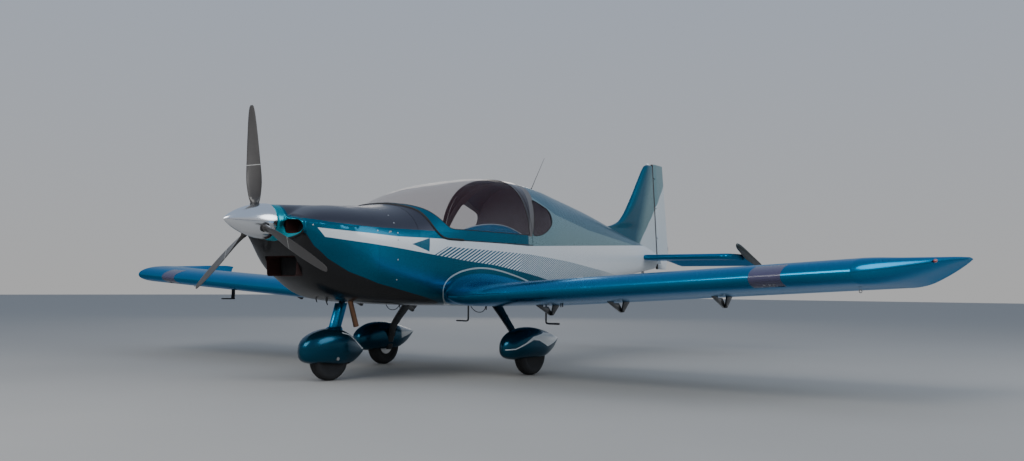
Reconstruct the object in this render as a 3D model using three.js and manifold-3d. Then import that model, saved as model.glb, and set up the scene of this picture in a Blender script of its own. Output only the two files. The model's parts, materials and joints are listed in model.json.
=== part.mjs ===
// Light aircraft: two seats side by side, low wing, fixed nose-wheel gear, three-bladed propeller.
// Millimetres, +Z up, nose towards -Y, port side towards +X, standing on its wheels at z = 0.
// Stations along Y are counted aft of the main axle; the whole group is then moved to its centre.

import * as THREE from 'three';
import { mergeVertices } from 'three/addons/utils/BufferGeometryUtils.js';
import Module from 'manifold-3d';

const wasm = await Module();
wasm.setup();

// Driving dimensions
const HALF_SPAN = 4150;
const SPINNER_TIP = -2454;
const RUDDER_TAIL = 4021;
const CENTRE_STATION = (SPINNER_TIP + RUDDER_TAIL) / 2;
const GAP = 0.4;
const MOVING_GAP = 8;
const FAR = 2500;

const FRONT_FACE = -2015;
const FIREWALL = -1410;
const CABIN_END = 900;
const TAIL_END = 3640;
const SKIN = 6;
const RING_POINTS = 32;

const PROP_AXIS_Z = 1192;
const PROP_PLANE = -2180;
const PROP_RADIUS = 850;
const BLADE_COUNT = 3;
const SPINNER_RADIUS = 131;
const SPINNER_BACK = -2090;
const SHAFT_RADIUS = 40;

const TRACK_HALF = 858;
const NOSE_AXLE = -1455;
const TYRE_RADIUS = 170;
const TYRE_HALF_WIDTH = 50;
const RIM_RADIUS = 95;
const AXLE_RADIUS = 14;
const AXLE_CLEARANCE = 0.6;
const AXLE_Z = TYRE_RADIUS;
const WHEEL_SIDES = 28;

const WING_LE = -759;
const WING_CHORD = 1265;
const WING_TE = WING_LE + WING_CHORD;
const WING_LE_Z = 612;
const DIHEDRAL = THREE.MathUtils.degToRad(3.37);
const WING_TE_DROP = 89;
const WING_THICKNESS = 178;
const WING_CAMBER = 40;
const WING_ROOT = 800;
const FLAP_END = 2736;
const AILERON_START = 2750;
const AILERON_END = 3780;
const WING_REAR_FACE = 235;
const FLAP_HINGE_Y = 358;
const FLAP_HINGE_DROP = 161;

const STAB_Z = 1088;
const STAB_LE = 3200;
const STAB_REAR = 3660;
const STAB_HALF = 1050;
const STAB_THICKNESS = 62;
const ELEVATOR_HINGE = 3700;
const ELEVATOR_TAIL = 3970;
const ELEVATOR_HALF = 1250;
const ELEVATOR_DROOP = THREE.MathUtils.degToRad(-19);
const HORN_NOSE = 3295;

const CANOPY_HINGE = { y: -1300, z: 1130 };

// Finishes
const finish = (color, roughness, metalness) =>
  () => new THREE.MeshStandardMaterial({ color, roughness, metalness });
const TEAL = finish(0x0b6f8a, 0.3, 0.6);
const GRAPHITE = finish(0x2c2a2d, 0.45, 0.3);
const PALE = finish(0xb9c4c4, 0.35, 0.3);
const CHROME = finish(0xd9dce0, 0.08, 1);
const BLADE_GREY = finish(0x3a3637, 0.5, 0.1);
const GLASS = finish(0x3b3034, 0.05, 0);
const RUBBER = finish(0x1a1a1a, 0.8, 0);
const STEEL = finish(0x8b8d90, 0.35, 0.9);
const ALLOY = finish(0xaeb1b4, 0.3, 0.9);
const BLACK = finish(0x18181a, 0.6, 0.1);
const LEATHER = finish(0x4a3f3b, 0.7, 0);
const RUST = finish(0x6b4a32, 0.6, 0.6);

const aircraft = new THREE.Group();
aircraft.position.y = -CENTRE_STATION;

/** Adds one named piece, placed in the stations' frame. */
function add(name, geometry, material) {
  const mesh = new THREE.Mesh(geometry, material());
  mesh.name = name;
  aircraft.add(mesh);
  return mesh;
}

// Geometry helpers

/** Closed body from vertices and triangles, turned so that its faces point out. */
function closedBody(points, triangles) {
  let volume = 0;
  for (const [a, b, c] of triangles) {
    volume += points[a].dot(new THREE.Vector3().crossVectors(points[b], points[c]));
  }
  const faces = volume < 0 ? triangles.map(([a, b, c]) => [a, c, b]) : triangles;
  const geometry = new THREE.BufferGeometry();
  const positions = points.flatMap((p) => p.toArray());
  geometry.setAttribute('position', new THREE.Float32BufferAttribute(positions, 3));
  geometry.setIndex(faces.flat());
  return geometry;
}

/** Skin between rings of equal length, closed at both ends by a fan. */
function loft(rings) {
  const count = rings[0].length;
  const points = rings.flat();
  const triangles = [];
  for (let r = 0; r + 1 < rings.length; r++) {
    for (let i = 0; i < count; i++) {
      const a = r * count + i;
      const b = r * count + ((i + 1) % count);
      triangles.push([a, b, b + count], [a, b + count, a + count]);
    }
  }
  const ends = [[0, false], [(rings.length - 1) * count, true]];
  for (const [first, last] of ends) {
    const ring = points.slice(first, first + count);
    const centre = ring.reduce((sum, p) => sum.add(p), new THREE.Vector3()).divideScalar(count);
    points.push(centre);
    const hub = points.length - 1;
    for (let i = 0; i < count; i++) {
      const a = first + i;
      const b = first + ((i + 1) % count);
      triangles.push(last ? [a, b, hub] : [b, a, hub]);
    }
  }
  return closedBody(points, triangles);
}

/** Solid for joining and cutting, from any closed geometry. */
function solid(geometry) {
  const source = geometry.clone();
  source.deleteAttribute('normal');
  source.deleteAttribute('uv');
  const merged = mergeVertices(source);
  const body = new wasm.Manifold(new wasm.Mesh({
    numProp: 3,
    vertProperties: new Float32Array(merged.attributes.position.array),
    triVerts: new Uint32Array(merged.index.array),
  }));
  return body;
}

/** Geometry of a cut or joined solid. */
function shape(body) {
  const mesh = body.getMesh();
  const geometry = new THREE.BufferGeometry();
  geometry.setAttribute('position', new THREE.Float32BufferAttribute(mesh.vertProperties, 3));
  geometry.setIndex(new THREE.Uint32BufferAttribute(mesh.triVerts, 1));
  return geometry;
}

/** Box between two corners. */
function box(x0, x1, y0, y1, z0, z1) {
  const geometry = new THREE.BoxGeometry(x1 - x0, y1 - y0, z1 - z0);
  geometry.translate((x0 + x1) / 2, (y0 + y1) / 2, (z0 + z1) / 2);
  return geometry;
}

/** Box on one side of the centre plane, between two distances from it. */
function sideBox(side, near, far, y0, y1, z0, z1) {
  return side > 0 ? box(near, far, y0, y1, z0, z1) : box(-far, -near, y0, y1, z0, z1);
}

/** Cylinder from one point to another. */
function rod(from, to, radius, sides = 12, endRadius = radius) {
  const start = new THREE.Vector3(...from);
  const end = new THREE.Vector3(...to);
  const geometry = new THREE.CylinderGeometry(endRadius, radius, start.distanceTo(end), sides);
  const along = end.clone().sub(start).normalize();
  const turn = new THREE.Quaternion().setFromUnitVectors(new THREE.Vector3(0, 1, 0), along);
  geometry.applyQuaternion(turn);
  geometry.translate(...start.add(end).multiplyScalar(0.5).toArray());
  return geometry;
}

/** Cylinder across the aircraft, round a point (station, height) of the side view. */
function crossRod(x0, x1, [y, z], radius, sides = 12) {
  return rod([x0, y, z], [x1, y, z], radius, sides);
}

/** Pin through a point (x, station, height), sloping up outwards by the wing's dihedral. */
function slopingPin(x, near, far, [y, z], radius) {
  const rise = Math.tan(DIHEDRAL);
  return rod([x + near, y, z + near * rise], [x + far, y, z + far * rise], radius, 10);
}

/** Outline in the side view (station, height) carried across from x0 to x1. */
function sidePrism(outline, x0, x1) {
  const drawn = new THREE.Shape(outline.map(([y, z]) => new THREE.Vector2(y, z)));
  const geometry = new THREE.ExtrudeGeometry(drawn, { depth: x1 - x0, bevelEnabled: false });
  geometry.applyMatrix4(new THREE.Matrix4().set(0, 0, 1, x0, 1, 0, 0, 0, 0, 1, 0, 0, 0, 0, 0, 1));
  return geometry;
}

/** Outline drawn in towards a point inside it by an amount. */
function drawnIn(outline, [my, mz], amount) {
  return outline.map(([y, z]) => {
    const part = amount / Math.hypot(y - my, z - mz);
    return [y - (y - my) * part, z - (z - mz) * part];
  });
}

/** Mirror image across the centre plane, still facing out. */
function mirrored(geometry) {
  const source = geometry.clone().scale(-1, 1, 1);
  const index = source.index.array;
  for (let i = 0; i < index.length; i += 3) {
    [index[i], index[i + 1]] = [index[i + 1], index[i]];
  }
  return source;
}

/** Adds a port piece and its starboard twin. */
function addPair(name, geometry, material) {
  add(`${name}_port`, geometry, material);
  add(`${name}_starboard`, mirrored(geometry), material);
}

/** Value at a place between the rows of a table, by a smooth curve through them. */
function between(rows, key, place, column) {
  let i = 0;
  while (i < rows.length - 2 && place > rows[i + 1][key]) {
    i++;
  }
  const row = (n) => rows[THREE.MathUtils.clamp(n, 0, rows.length - 1)];
  const [before, a, b, after] = [row(i - 1), row(i), row(i + 1), row(i + 2)];
  const span = b[key] - a[key];
  const t = THREE.MathUtils.clamp((place - a[key]) / span, 0, 1);
  const slope = (p, q) => (q[key] === p[key] ? 0 : (q[column] - p[column]) / (q[key] - p[key]));
  const leave = slope(before, b) * span;
  const arrive = slope(a, after) * span;
  const t2 = t * t;
  const t3 = t2 * t;
  return (2 * t3 - 3 * t2 + 1) * a[column] + (t3 - 2 * t2 + t) * leave
    + (3 * t2 - 2 * t3) * b[column] + (t3 - t2) * arrive;
}

// Fuselage sections: station, crown height, keel height, half width, height of the widest line,
// and how square the upper and lower halves are
const BODY = [
  [-2015, 1234, 1056, 330, 1140, 3.2, 2.2],
  [-1900, 1288, 824, 370, 1130, 2.8, 2.4],
  [-1800, 1319, 736, 397, 1115, 2.6, 2.4],
  [-1626, 1341, 652, 441, 1085, 2.5, 2.9],
  [-1410, 1352, 614, 490, 1050, 2.5, 3.8],
  [-1000, 1399, 588, 532, 1000, 2.5, 5],
  [-700, 1522, 575, 547, 1000, 2.5, 5],
  [-450, 1599, 570, 552, 1000, 2.55, 5],
  [80, 1699, 562, 553, 1000, 2.6, 5],
  [450, 1727, 570, 540, 1000, 2.6, 4.6],
  [900, 1703, 606, 492, 1000, 2.6, 4],
  [1325, 1637, 655, 420, 1010, 2.6, 3.6],
  [2000, 1522, 745, 305, 1040, 2.5, 3.2],
  [2700, 1370, 838, 195, 1060, 2.4, 2.8],
  [3300, 1246, 918, 112, 1078, 2.3, 2.6],
  [3640, 1165, 962, 62, 1082, 2.2, 2.4],
].map(([station, crown, keel, half, waist, upper, lower]) => (
  { station, crown, keel, half, waist, upper, lower }));

/** Ring of points round the fuselage at a station, set in from the skin by an amount. */
function bodyRing(station, inset = 0, count = RING_POINTS) {
  const value = (column) => between(BODY, 'station', station, column);
  const [crown, keel, half, waist] = ['crown', 'keel', 'half', 'waist'].map(value);
  const ring = [];
  for (let i = 0; i < count; i++) {
    const angle = (2 * Math.PI * i) / count;
    const [c, s] = [Math.cos(angle), Math.sin(angle)];
    const power = 2 / value(s >= 0 ? 'upper' : 'lower');
    const reach = s >= 0 ? crown - waist - inset : waist - keel - inset;
    const x = Math.sign(c) * Math.abs(c) ** power * (half - inset);
    const z = waist + Math.sign(s) * Math.abs(s) ** power * reach;
    ring.push(new THREE.Vector3(x, station, z));
  }
  return ring;
}

/** Whole body between two stations. */
function bodySolid(from, to, inset = 0) {
  const inner = BODY.map((row) => row.station).filter((y) => y > from + 20 && y < to - 20);
  return solid(loft([from, ...inner, to].map((y) => bodyRing(y, inset))));
}

/** Hollow body open at both ends. */
function bodyShell(from, to, thickness = SKIN) {
  return bodySolid(from, to).subtract(bodySolid(from - 1, to + 1, thickness));
}

/** Half width of the body at a station and a height above its widest line. */
function halfWidthAt(station, height) {
  const value = (column) => between(BODY, 'station', station, column);
  const up = height >= value('waist');
  const reach = up ? value('crown') - value('waist') : value('waist') - value('keel');
  const power = value(up ? 'upper' : 'lower');
  const part = Math.min(Math.abs(height - value('waist')) / reach, 1);
  return value('half') * (1 - part ** power) ** (1 / power);
}

// Cowling, split along its side line
const COWL_SPLIT_Z = 1172;
const COWL_FRONT_WALL = 12;
const SHAFT_OPENING = 70;
const NOSTRIL_DEPTH = 120;
// Outline of the port cooling inlet in the front view: distance out and height
const NOSTRIL = [[133, 1110], [200, 1103], [280, 1108], [315, 1126], [322, 1142], [312, 1176], [287, 1204], [133, 1208]];
const SCOOP = { halfTop: 175, halfLow: 162, low: 797, high: 945, rear: -1830, depth: 200 };
// Round ridge from the spinner's collar back into the deck: station, height of its middle, radius
const HUB_RIDGE = { front: [-2080, 1192, 125], rear: [-1600, 1166, 177] };

/** Ridge behind the spinner, set in from the skin by an amount. */
function hubRidge(inset) {
  const [[y0, z0, r0], [y1, z1, r1]] = [HUB_RIDGE.front, HUB_RIDGE.rear];
  return solid(rod([0, y0 + inset, z0], [0, y1, z1], r0 - inset, 36, r1 - inset));
}

/** Cooling-air passage under the nose, widening upwards. */
function scoopTunnel() {
  const mouth = new THREE.Shape([
    new THREE.Vector2(-SCOOP.halfLow, SCOOP.low),
    new THREE.Vector2(SCOOP.halfLow, SCOOP.low),
    new THREE.Vector2(SCOOP.halfTop, SCOOP.high),
    new THREE.Vector2(-SCOOP.halfTop, SCOOP.high),
  ]);
  const tunnel = new THREE.ExtrudeGeometry(mouth, { depth: SCOOP.depth, bevelEnabled: false });
  tunnel.applyMatrix4(new THREE.Matrix4().set(1, 0, 0, 0, 0, 0, -1, SCOOP.rear, 0, 1, 0, 0, 0, 0, 0, 1));
  return tunnel;
}

/** Cooling-air passage of the port inlet. */
function nostrilTunnel() {
  const mouth = new THREE.Shape(NOSTRIL.map(([x, z]) => new THREE.Vector2(x, z)));
  const tunnel = new THREE.ExtrudeGeometry(mouth, { depth: NOSTRIL_DEPTH, bevelEnabled: false });
  const rear = FRONT_FACE + NOSTRIL_DEPTH - 20;
  tunnel.applyMatrix4(new THREE.Matrix4().set(1, 0, 0, 0, 0, 0, -1, rear, 0, 1, 0, 0, 0, 0, 0, 1));
  return shape(solid(tunnel));
}

function buildCowling() {
  const outer = bodySolid(FRONT_FACE, FIREWALL - GAP).add(hubRidge(0));
  const inner = bodySolid(FRONT_FACE + COWL_FRONT_WALL, FIREWALL + 5, SKIN).add(hubRidge(SKIN));
  let cowl = outer.subtract(inner).subtract(solid(scoopTunnel()));
  const nostril = nostrilTunnel();
  for (const inlet of [nostril, mirrored(nostril)]) {
    cowl = cowl.subtract(solid(inlet));
  }
  const ahead = HUB_RIDGE.front[0] - 20;
  const shaftHole = rod([0, ahead, PROP_AXIS_Z], [0, FRONT_FACE + 60, PROP_AXIS_Z], SHAFT_OPENING, 24);
  cowl = cowl.subtract(solid(shaftHole));
  const above = solid(box(-FAR, FAR, -FAR, 0, COWL_SPLIT_Z + GAP / 2, FAR));
  const below = solid(box(-FAR, FAR, -FAR, 0, 0, COWL_SPLIT_Z - GAP / 2));
  add('cowl_upper', shape(cowl.intersect(above)), GRAPHITE);
  add('cowl_lower', shape(cowl.intersect(below)), TEAL);
}

// Cabin outlines in the side view: the canopy's edge, its glass and the rear side window
const RAIL_Z = 1112;
const SILL_Z = 1198;
const CANOPY_REAR = 470;
const CANOPY_EDGE = [
  [-1010, 1460], [-985, 1392], [-900, 1352], [-800, 1290], [-700, 1212], [-625, 1140], [-560, RAIL_Z],
];
const GLASS_EDGE = [
  [-985, 1475], [-930, 1408], [-850, 1366], [-760, 1308], [-680, 1240], [-610, SILL_Z],
];
const WINDOW = [
  [500, 1206], [640, 1208], [740, 1256], [800, 1330], [806, 1368], [700, 1425], [560, 1470], [500, 1484],
];
const WINDOW_MIDDLE = [640, 1330];
const EDGE_LEAN = { station: 0.55, height: 0.85 };
const CANOPY_BOW = 40;
const ABOVE_ALL_Z = 1900;

/** Front edge of the canopy or its glass, moved out by an amount. */
function movedEdge(edge, grow) {
  return edge.map(([y, z]) => [y - grow * EDGE_LEAN.station, z - grow * EDGE_LEAN.height]);
}

/** Canopy outline grown by an amount at its edge, rail and rear. */
function canopyOutline(grow) {
  const rear = CANOPY_REAR + grow;
  return [
    [-1060 - grow, ABOVE_ALL_Z], ...movedEdge(CANOPY_EDGE, grow),
    [rear, RAIL_Z - grow], [rear, ABOVE_ALL_Z],
  ];
}

/** Outline of the canopy's glass, grown in the same way. */
function glassOutline(grow) {
  const rear = CANOPY_REAR - CANOPY_BOW + grow;
  return [
    [-1035 - grow, ABOVE_ALL_Z], ...movedEdge(GLASS_EDGE, grow),
    [rear, SILL_Z - grow], [rear, ABOVE_ALL_Z],
  ];
}

const PIN_RADIUS = 8;
const HINGE_ARM = { x: 395, half: 11, width: 16, eye: 24, bearing: 20, foot: 28 };
const PIVOT = [CANOPY_HINGE.y, CANOPY_HINGE.z];
const HINGE_ROUTE = [PIVOT, [-1080, 960], [-820, 872], [-745, 960], [-655, 1206]];

/** Goose-neck arm from the canopy's pivot under the deck and up to its front frame. */
function hingeArm(side) {
  const last = HINGE_ROUTE.length - 1;
  const edges = HINGE_ROUTE.map(([y, z], i) => {
    const [py, pz] = HINGE_ROUTE[Math.max(i - 1, 0)];
    const [ny, nz] = HINGE_ROUTE[Math.min(i + 1, last)];
    const part = HINGE_ARM.width / Math.hypot(ny - py, nz - pz);
    const [dy, dz] = [(nz - pz) * part, (ny - py) * part];
    return [[y - dy, z + dz], [y + dy, z - dz]];
  });
  const outline = [...edges.map((pair) => pair[0]), ...edges.map((pair) => pair[1]).reverse()];
  const [x0, x1] = [side * HINGE_ARM.x - HINGE_ARM.half, side * HINGE_ARM.x + HINGE_ARM.half];
  const [footY, footZ] = HINGE_ROUTE[last];
  const skin = halfWidthAt(footY, footZ) - SKIN / 2;
  const foot = sideBox(side, HINGE_ARM.x, skin, footY - 20, footY + 8, footZ - 16, footZ + 3);
  return solid(sidePrism(outline, x0, x1))
    .add(solid(crossRod(x0, x1, PIVOT, HINGE_ARM.eye, 16)))
    .add(solid(foot));
}

/** Bearing boss and pin that carry one hinge arm on the hull's side. */
function hingeBearing(side) {
  const wall = side * (HINGE_ARM.x + HINGE_ARM.width);
  const skin = side * (halfWidthAt(...PIVOT) - SKIN / 2);
  const pinEnd = side * (HINGE_ARM.x - HINGE_ARM.half - 3);
  return solid(crossRod(wall, skin, PIVOT, HINGE_ARM.bearing))
    .add(solid(crossRod(pinEnd, wall, PIVOT, PIN_RADIUS)));
}

const NOSE_LEG_HOLE = 45;

function buildCabin() {
  const across = (outline) => solid(sidePrism(outline, -FAR, FAR));
  const whole = bodyShell(FIREWALL, CABIN_END - GAP);
  const legHole = rod([0, LEG_TOP.y, 700], [0, LEG_TOP.y, 500], NOSE_LEG_HOLE, 24);
  const hull = whole
    .subtract(across(canopyOutline(MOVING_GAP)))
    .subtract(across(WINDOW))
    .subtract(solid(legHole))
    .add(hingeBearing(1))
    .add(hingeBearing(-1));
  add('cabin_hull', shape(hull), TEAL);
  const panes = whole.intersect(across(drawnIn(WINDOW, WINDOW_MIDDLE, GAP)));
  addPair('rear_window', shape(panes.intersect(solid(box(0, FAR, 0, FAR, 0, FAR)))), GLASS);

  const canopy = bodyShell(-1200, CANOPY_REAR).intersect(across(canopyOutline(0)));
  const bore = solid(crossRod(-600, 600, PIVOT, PIN_RADIUS + 0.6));
  const frame = canopy
    .subtract(across(glassOutline(GAP)))
    .add(hingeArm(1))
    .add(hingeArm(-1))
    .subtract(bore);
  add('canopy_frame', shape(frame), TEAL);
  add('canopy_glass', shape(canopy.intersect(across(glassOutline(0)))), GLASS);
}

const TAIL_TIE_DOWN = { half: 9, length: 40, y: 3400, z: 908, height: 27 };

function buildRearFuselage() {
  const { half, length, y, z, height } = TAIL_TIE_DOWN;
  const tieDown = box(-half, half, y - length / 2, y + length / 2, z, z + height);
  const shell = bodySolid(CABIN_END, TAIL_END)
    .subtract(bodySolid(CABIN_END - 1, TAIL_END - SKIN, 4))
    .subtract(solid(stabiliserGeometry(GAP)))
    .add(solid(tieDown));
  add('rear_fuselage', shape(shell), PALE);
}

// Wing sections

/** Half thickness of a wing section at a part of its chord. */
const halfThickness = (f, thickness) => Math.max(1.2, 5 * thickness * (0.2969 * Math.sqrt(f) - 0.126 * f
  - 0.3516 * f * f + 0.2843 * f ** 3 - 0.1036 * f ** 4));
/** Height of a section's curved middle line at a part of its chord. */
const camberLine = (f, camber) => 4 * camber * f * (1 - f);

/** Section between a nose and a tail point: from the tail over the top to the nose and back. */
function aerofoilRing(x, nose, tail, thickness, camber, from = 0, to = 1, steps = 8) {
  const at = (f, sign) => new THREE.Vector3(x, nose[0] + (tail[0] - nose[0]) * f,
    nose[1] + (tail[1] - nose[1]) * f + camberLine(f, camber) + sign * halfThickness(f, thickness));
  const ring = [];
  for (let i = 0; i <= steps; i++) {
    const s = i / steps;
    ring.push(at(to + (from - to) * (from === 0 ? 1 - (1 - s) ** 2 : s), 1));
  }
  for (let i = from === 0 ? 1 : 0; i <= steps; i++) {
    const s = i / steps;
    ring.push(at(from + (to - from) * (from === 0 ? s ** 2 : s), -1));
  }
  return ring;
}

const leadingZ = (x) => WING_LE_Z + Math.tan(DIHEDRAL) * x;
const chordPart = (y) => (y - WING_LE) / WING_CHORD;
const chordZ = (x, y) => leadingZ(x) - WING_TE_DROP * chordPart(y);

/** Wing section at a distance out, or the part of it between two stations. */
function wingRing(x, fromY = WING_LE, toY = WING_TE, steps = 8) {
  const z = leadingZ(x);
  return aerofoilRing(x, [WING_LE, z], [WING_TE, z - WING_TE_DROP], WING_THICKNESS, WING_CAMBER,
    Math.max(chordPart(fromY), 0), Math.min(chordPart(toY), 1), steps);
}

const TIP_CAMBER = 0.2;
// Raked, upturned tip: distance out, nose station and height, tail station and height, thickness
const TIP = [
  [AILERON_END, -759, 835, 506, 745, 178],
  [3850, -660, 846, 512, 752, 168],
  [3930, -470, 866, 540, 776, 140],
  [4010, -240, 890, 590, 824, 104],
  [4080, 10, 915, 650, 878, 66],
  [4130, 300, 938, 700, 925, 34],
  [HALF_SPAN, 560, 952, 730, 950, 14],
].map(([x, noseY, noseZ, tailY, tailZ, thickness]) => ({ x, noseY, noseZ, tailY, tailZ, thickness }));

/** Height of the wing's upper (1) or lower (-1) skin at a distance out and a station. */
function wingSkinZ(x, y, side) {
  const f = chordPart(y);
  return chordZ(x, y) + camberLine(f, WING_CAMBER) + side * halfThickness(f, WING_THICKNESS);
}

const CONTROL_NOSE = WING_REAR_FACE + MOVING_GAP;
const CONTROL_TURN = 30;

/** Round nose of a flap or aileron: its centre, half depth along Y and half height. */
function controlNose(x) {
  const inside = CONTROL_NOSE + CONTROL_TURN;
  const depth = (wingSkinZ(x, inside, 1) - wingSkinZ(x, inside, -1)) / 2;
  const y = CONTROL_NOSE + depth;
  const [top, low] = [wingSkinZ(x, y, 1), wingSkinZ(x, y, -1)];
  return { y, z: (top + low) / 2, depth, height: (top - low) / 2 };
}

/** Section of a flap or aileron: a round nose and the rest of the wing's section behind it. */
function controlRing(x) {
  const nose = controlNose(x);
  const steps = 6;
  const ring = [];
  for (let i = 0; i <= steps; i++) {
    const angle = (Math.PI * i) / steps;
    const y = nose.y - nose.depth * Math.sin(angle);
    ring.push(new THREE.Vector3(x, y, nose.z - nose.height * Math.cos(angle)));
  }
  const behind = nose.y + 110;
  for (const [y, side] of [[behind, 1], [WING_TE, 1], [WING_TE, -1], [behind, -1]]) {
    ring.push(new THREE.Vector3(x, y, wingSkinZ(x, y, side)));
  }
  return ring;
}

const FLAP_BRACKETS = [820, 1530, 2450];
const AILERON_HINGES = [2950, 3560];
const TIE_DOWN = { x: 3650, y: -150, z: 730, half: 12, length: 36, height: 30 };

/** Pivot of the flap at a distance out. */
const flapPivot = (x) => [FLAP_HINGE_Y, leadingZ(x) - FLAP_HINGE_DROP];

/** Fixed leg of a flap's hinge, on the wing, with its pin. */
function flapBracket(x) {
  const [y, z] = flapPivot(x);
  const skin = chordZ(x, 200) + 10;
  const arm = sidePrism([
    [110, skin], [222, skin], [222, leadingZ(x) - 96],
    [y + 8, z + 6], [y + 4, z - 10], [y - 14, z - 12],
  ], x - 8, x + 8);
  return solid(arm).add(solid(slopingPin(x, -8, 24, [y, z], 6)));
}

/** Moving leg of a flap's hinge, and the bore through it. */
function flapLeg(x) {
  const [y, z] = flapPivot(x);
  const skin = chordZ(x, 430) + 4;
  return solid(sidePrism([
    [380, skin], [455, skin], [y + 14, z - 10], [y - 10, z - 10], [y - 10, z + 12],
  ], x + 9, x + 21));
}
const flapBore = (x) => solid(slopingPin(x, -30, 40, flapPivot(x), 6.6));

// Hinge of a tail or aileron surface: a lug with a pin through it, in a notch with a bore
const LUG = { half: 4, height: 12, tip: 12, pin: 5, pinHalf: 14, side: 3, behind: 16, clear: 60 };

/** Lug from a rear face to a pivot, with its pin. */
function lugAt(x, face, [y, z], pin = crossRod(x - LUG.pinHalf, x + LUG.pinHalf, [y, z], LUG.pin, 10)) {
  const plate = sidePrism([
    [face, z - LUG.height], [y, z - LUG.height], [y + LUG.tip, z],
    [y, z + LUG.height], [face, z + LUG.height],
  ], x - LUG.half, x + LUG.half);
  return solid(plate).add(solid(pin));
}

const BORE_HALF = LUG.pinHalf + 2;

/** Notch and bore in the moving surface round such a lug. */
function lugRoom(x, face, [y, z], bore = crossRod(x - BORE_HALF, x + BORE_HALF, [y, z], LUG.pin + GAP, 10)) {
  const reach = LUG.half + LUG.side;
  const notch = box(x - reach, x + reach, face, y + LUG.behind, z - LUG.clear, z + LUG.clear);
  return solid(notch).add(solid(bore));
}

function buildWing() {
  const aileronPivot = (x) => [controlNose(x).y, controlNose(x).z];
  const pad = box(TIE_DOWN.x - TIE_DOWN.half, TIE_DOWN.x + TIE_DOWN.half, TIE_DOWN.y - TIE_DOWN.length / 2,
    TIE_DOWN.y + TIE_DOWN.length / 2, TIE_DOWN.z, TIE_DOWN.z + TIE_DOWN.height);
  let wing = solid(loft([WING_ROOT, AILERON_END].map((x) => wingRing(x, WING_LE, WING_REAR_FACE, 10))));
  wing = wing.add(solid(pad));
  let flap = solid(loft([WING_ROOT + MOVING_GAP, FLAP_END].map(controlRing)));
  for (const x of FLAP_BRACKETS) {
    wing = wing.add(flapBracket(x));
    flap = flap.add(flapLeg(x)).subtract(flapBore(x));
  }
  let aileron = solid(loft([AILERON_START, AILERON_END - MOVING_GAP].map(controlRing)));
  for (const x of AILERON_HINGES) {
    const pivot = aileronPivot(x);
    const pin = slopingPin(x, -LUG.pinHalf, LUG.pinHalf, pivot, LUG.pin);
    const bore = slopingPin(x, -BORE_HALF, BORE_HALF, pivot, LUG.pin + GAP);
    wing = wing.add(lugAt(x, WING_REAR_FACE - 10, pivot, pin));
    aileron = aileron.subtract(lugRoom(x, WING_REAR_FACE, pivot, bore));
  }
  addPair('wing', shape(wing), TEAL);
  addPair('flap', shape(flap), TEAL);
  addPair('aileron', shape(aileron), TEAL);

  const tip = loft(TIP.map((row) => aerofoilRing(row.x + GAP, [row.noseY, row.noseZ],
    [row.tailY, row.tailZ], row.thickness, row.thickness * TIP_CAMBER, 0, 1, 10)));
  addPair('wingtip', tip, TEAL);
}

// Fillet between the wing root and the fuselage
const STEP = { x: 470, y: 781, z: 396, top: 700, radius: 9, reach: 150 };
const FAIRING = {
  inner: 430, outer: WING_ROOT - GAP, side: 520, steps: 6,
  tail: 850, tailZ: 640, noseZ: 690, thickness: 300, camber: 62,
};

function buildRootFairing() {
  const rings = [];
  for (let i = 0; i <= FAIRING.steps; i++) {
    const x = FAIRING.inner + (FAIRING.outer - FAIRING.inner) * (i / FAIRING.steps);
    const out = THREE.MathUtils.clamp((x - FAIRING.side) / (FAIRING.outer - FAIRING.side), 0, 1);
    const swell = (1 - out) ** 2.6;
    const mix = (atWing, atBody) => atWing + (atBody - atWing) * swell;
    const nose = [WING_LE, mix(leadingZ(x), FAIRING.noseZ)];
    const tail = [mix(WING_TE, FAIRING.tail), mix(leadingZ(x) - WING_TE_DROP, FAIRING.tailZ)];
    rings.push(aerofoilRing(x, nose, tail, mix(WING_THICKNESS, FAIRING.thickness),
      mix(WING_CAMBER, FAIRING.camber), 0, 1, 10));
  }
  const post = rod([STEP.x, STEP.y, STEP.top], [STEP.x, STEP.y, STEP.z], STEP.radius + GAP, 10);
  const fairing = solid(loft(rings))
    .subtract(bodySolid(-1300, 1400, -GAP))
    .subtract(mainLeg(GAP))
    .subtract(solid(post));
  addPair('root_fairing', shape(fairing), TEAL);
}

// Tail

/** Flat symmetrical section of the tailplane. */
function tailRing(x, nose, rear, thickness, grow = 0) {
  const steps = 5;
  const ring = [];
  const half = thickness / 2 + grow;
  for (let i = -steps; i <= steps; i++) {
    const angle = (Math.PI / 2) * (i / steps);
    const y = nose - grow + half * 2.2 * (1 - Math.cos(angle));
    ring.push(new THREE.Vector3(x, y, STAB_Z + half * Math.sin(angle)));
  }
  ring.push(new THREE.Vector3(x, rear + grow, STAB_Z + half));
  ring.push(new THREE.Vector3(x, rear + grow, STAB_Z - half));
  return ring;
}

function stabiliserGeometry(grow) {
  const ends = [-STAB_HALF, STAB_HALF];
  return loft(ends.map((x) => tailRing(x, STAB_LE, STAB_REAR, STAB_THICKNESS, grow)));
}

/** Elevator section at neutral: round nose at the hinge, thin tail. */
function elevatorRing(x, nose, tail, thickness) {
  const ring = [];
  const half = thickness / 2;
  const steps = 5;
  for (let i = -steps; i <= steps; i++) {
    const angle = (Math.PI / 2) * (i / steps);
    ring.push(new THREE.Vector3(x, nose + half * (1 - Math.cos(angle)), STAB_Z + half * Math.sin(angle)));
  }
  ring.push(new THREE.Vector3(x, tail, STAB_Z + 2));
  ring.push(new THREE.Vector3(x, tail, STAB_Z - 2));
  return ring;
}

const ELEVATOR = { thickness: 52, root: 115, shoulder: 215, rootLength: 90, tube: 18, tubeHalf: 200 };
const ELEVATOR_HINGES = [-900, -380, 380, 900];
const ELEVATOR_PIVOT = [ELEVATOR_HINGE, STAB_Z];

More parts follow.
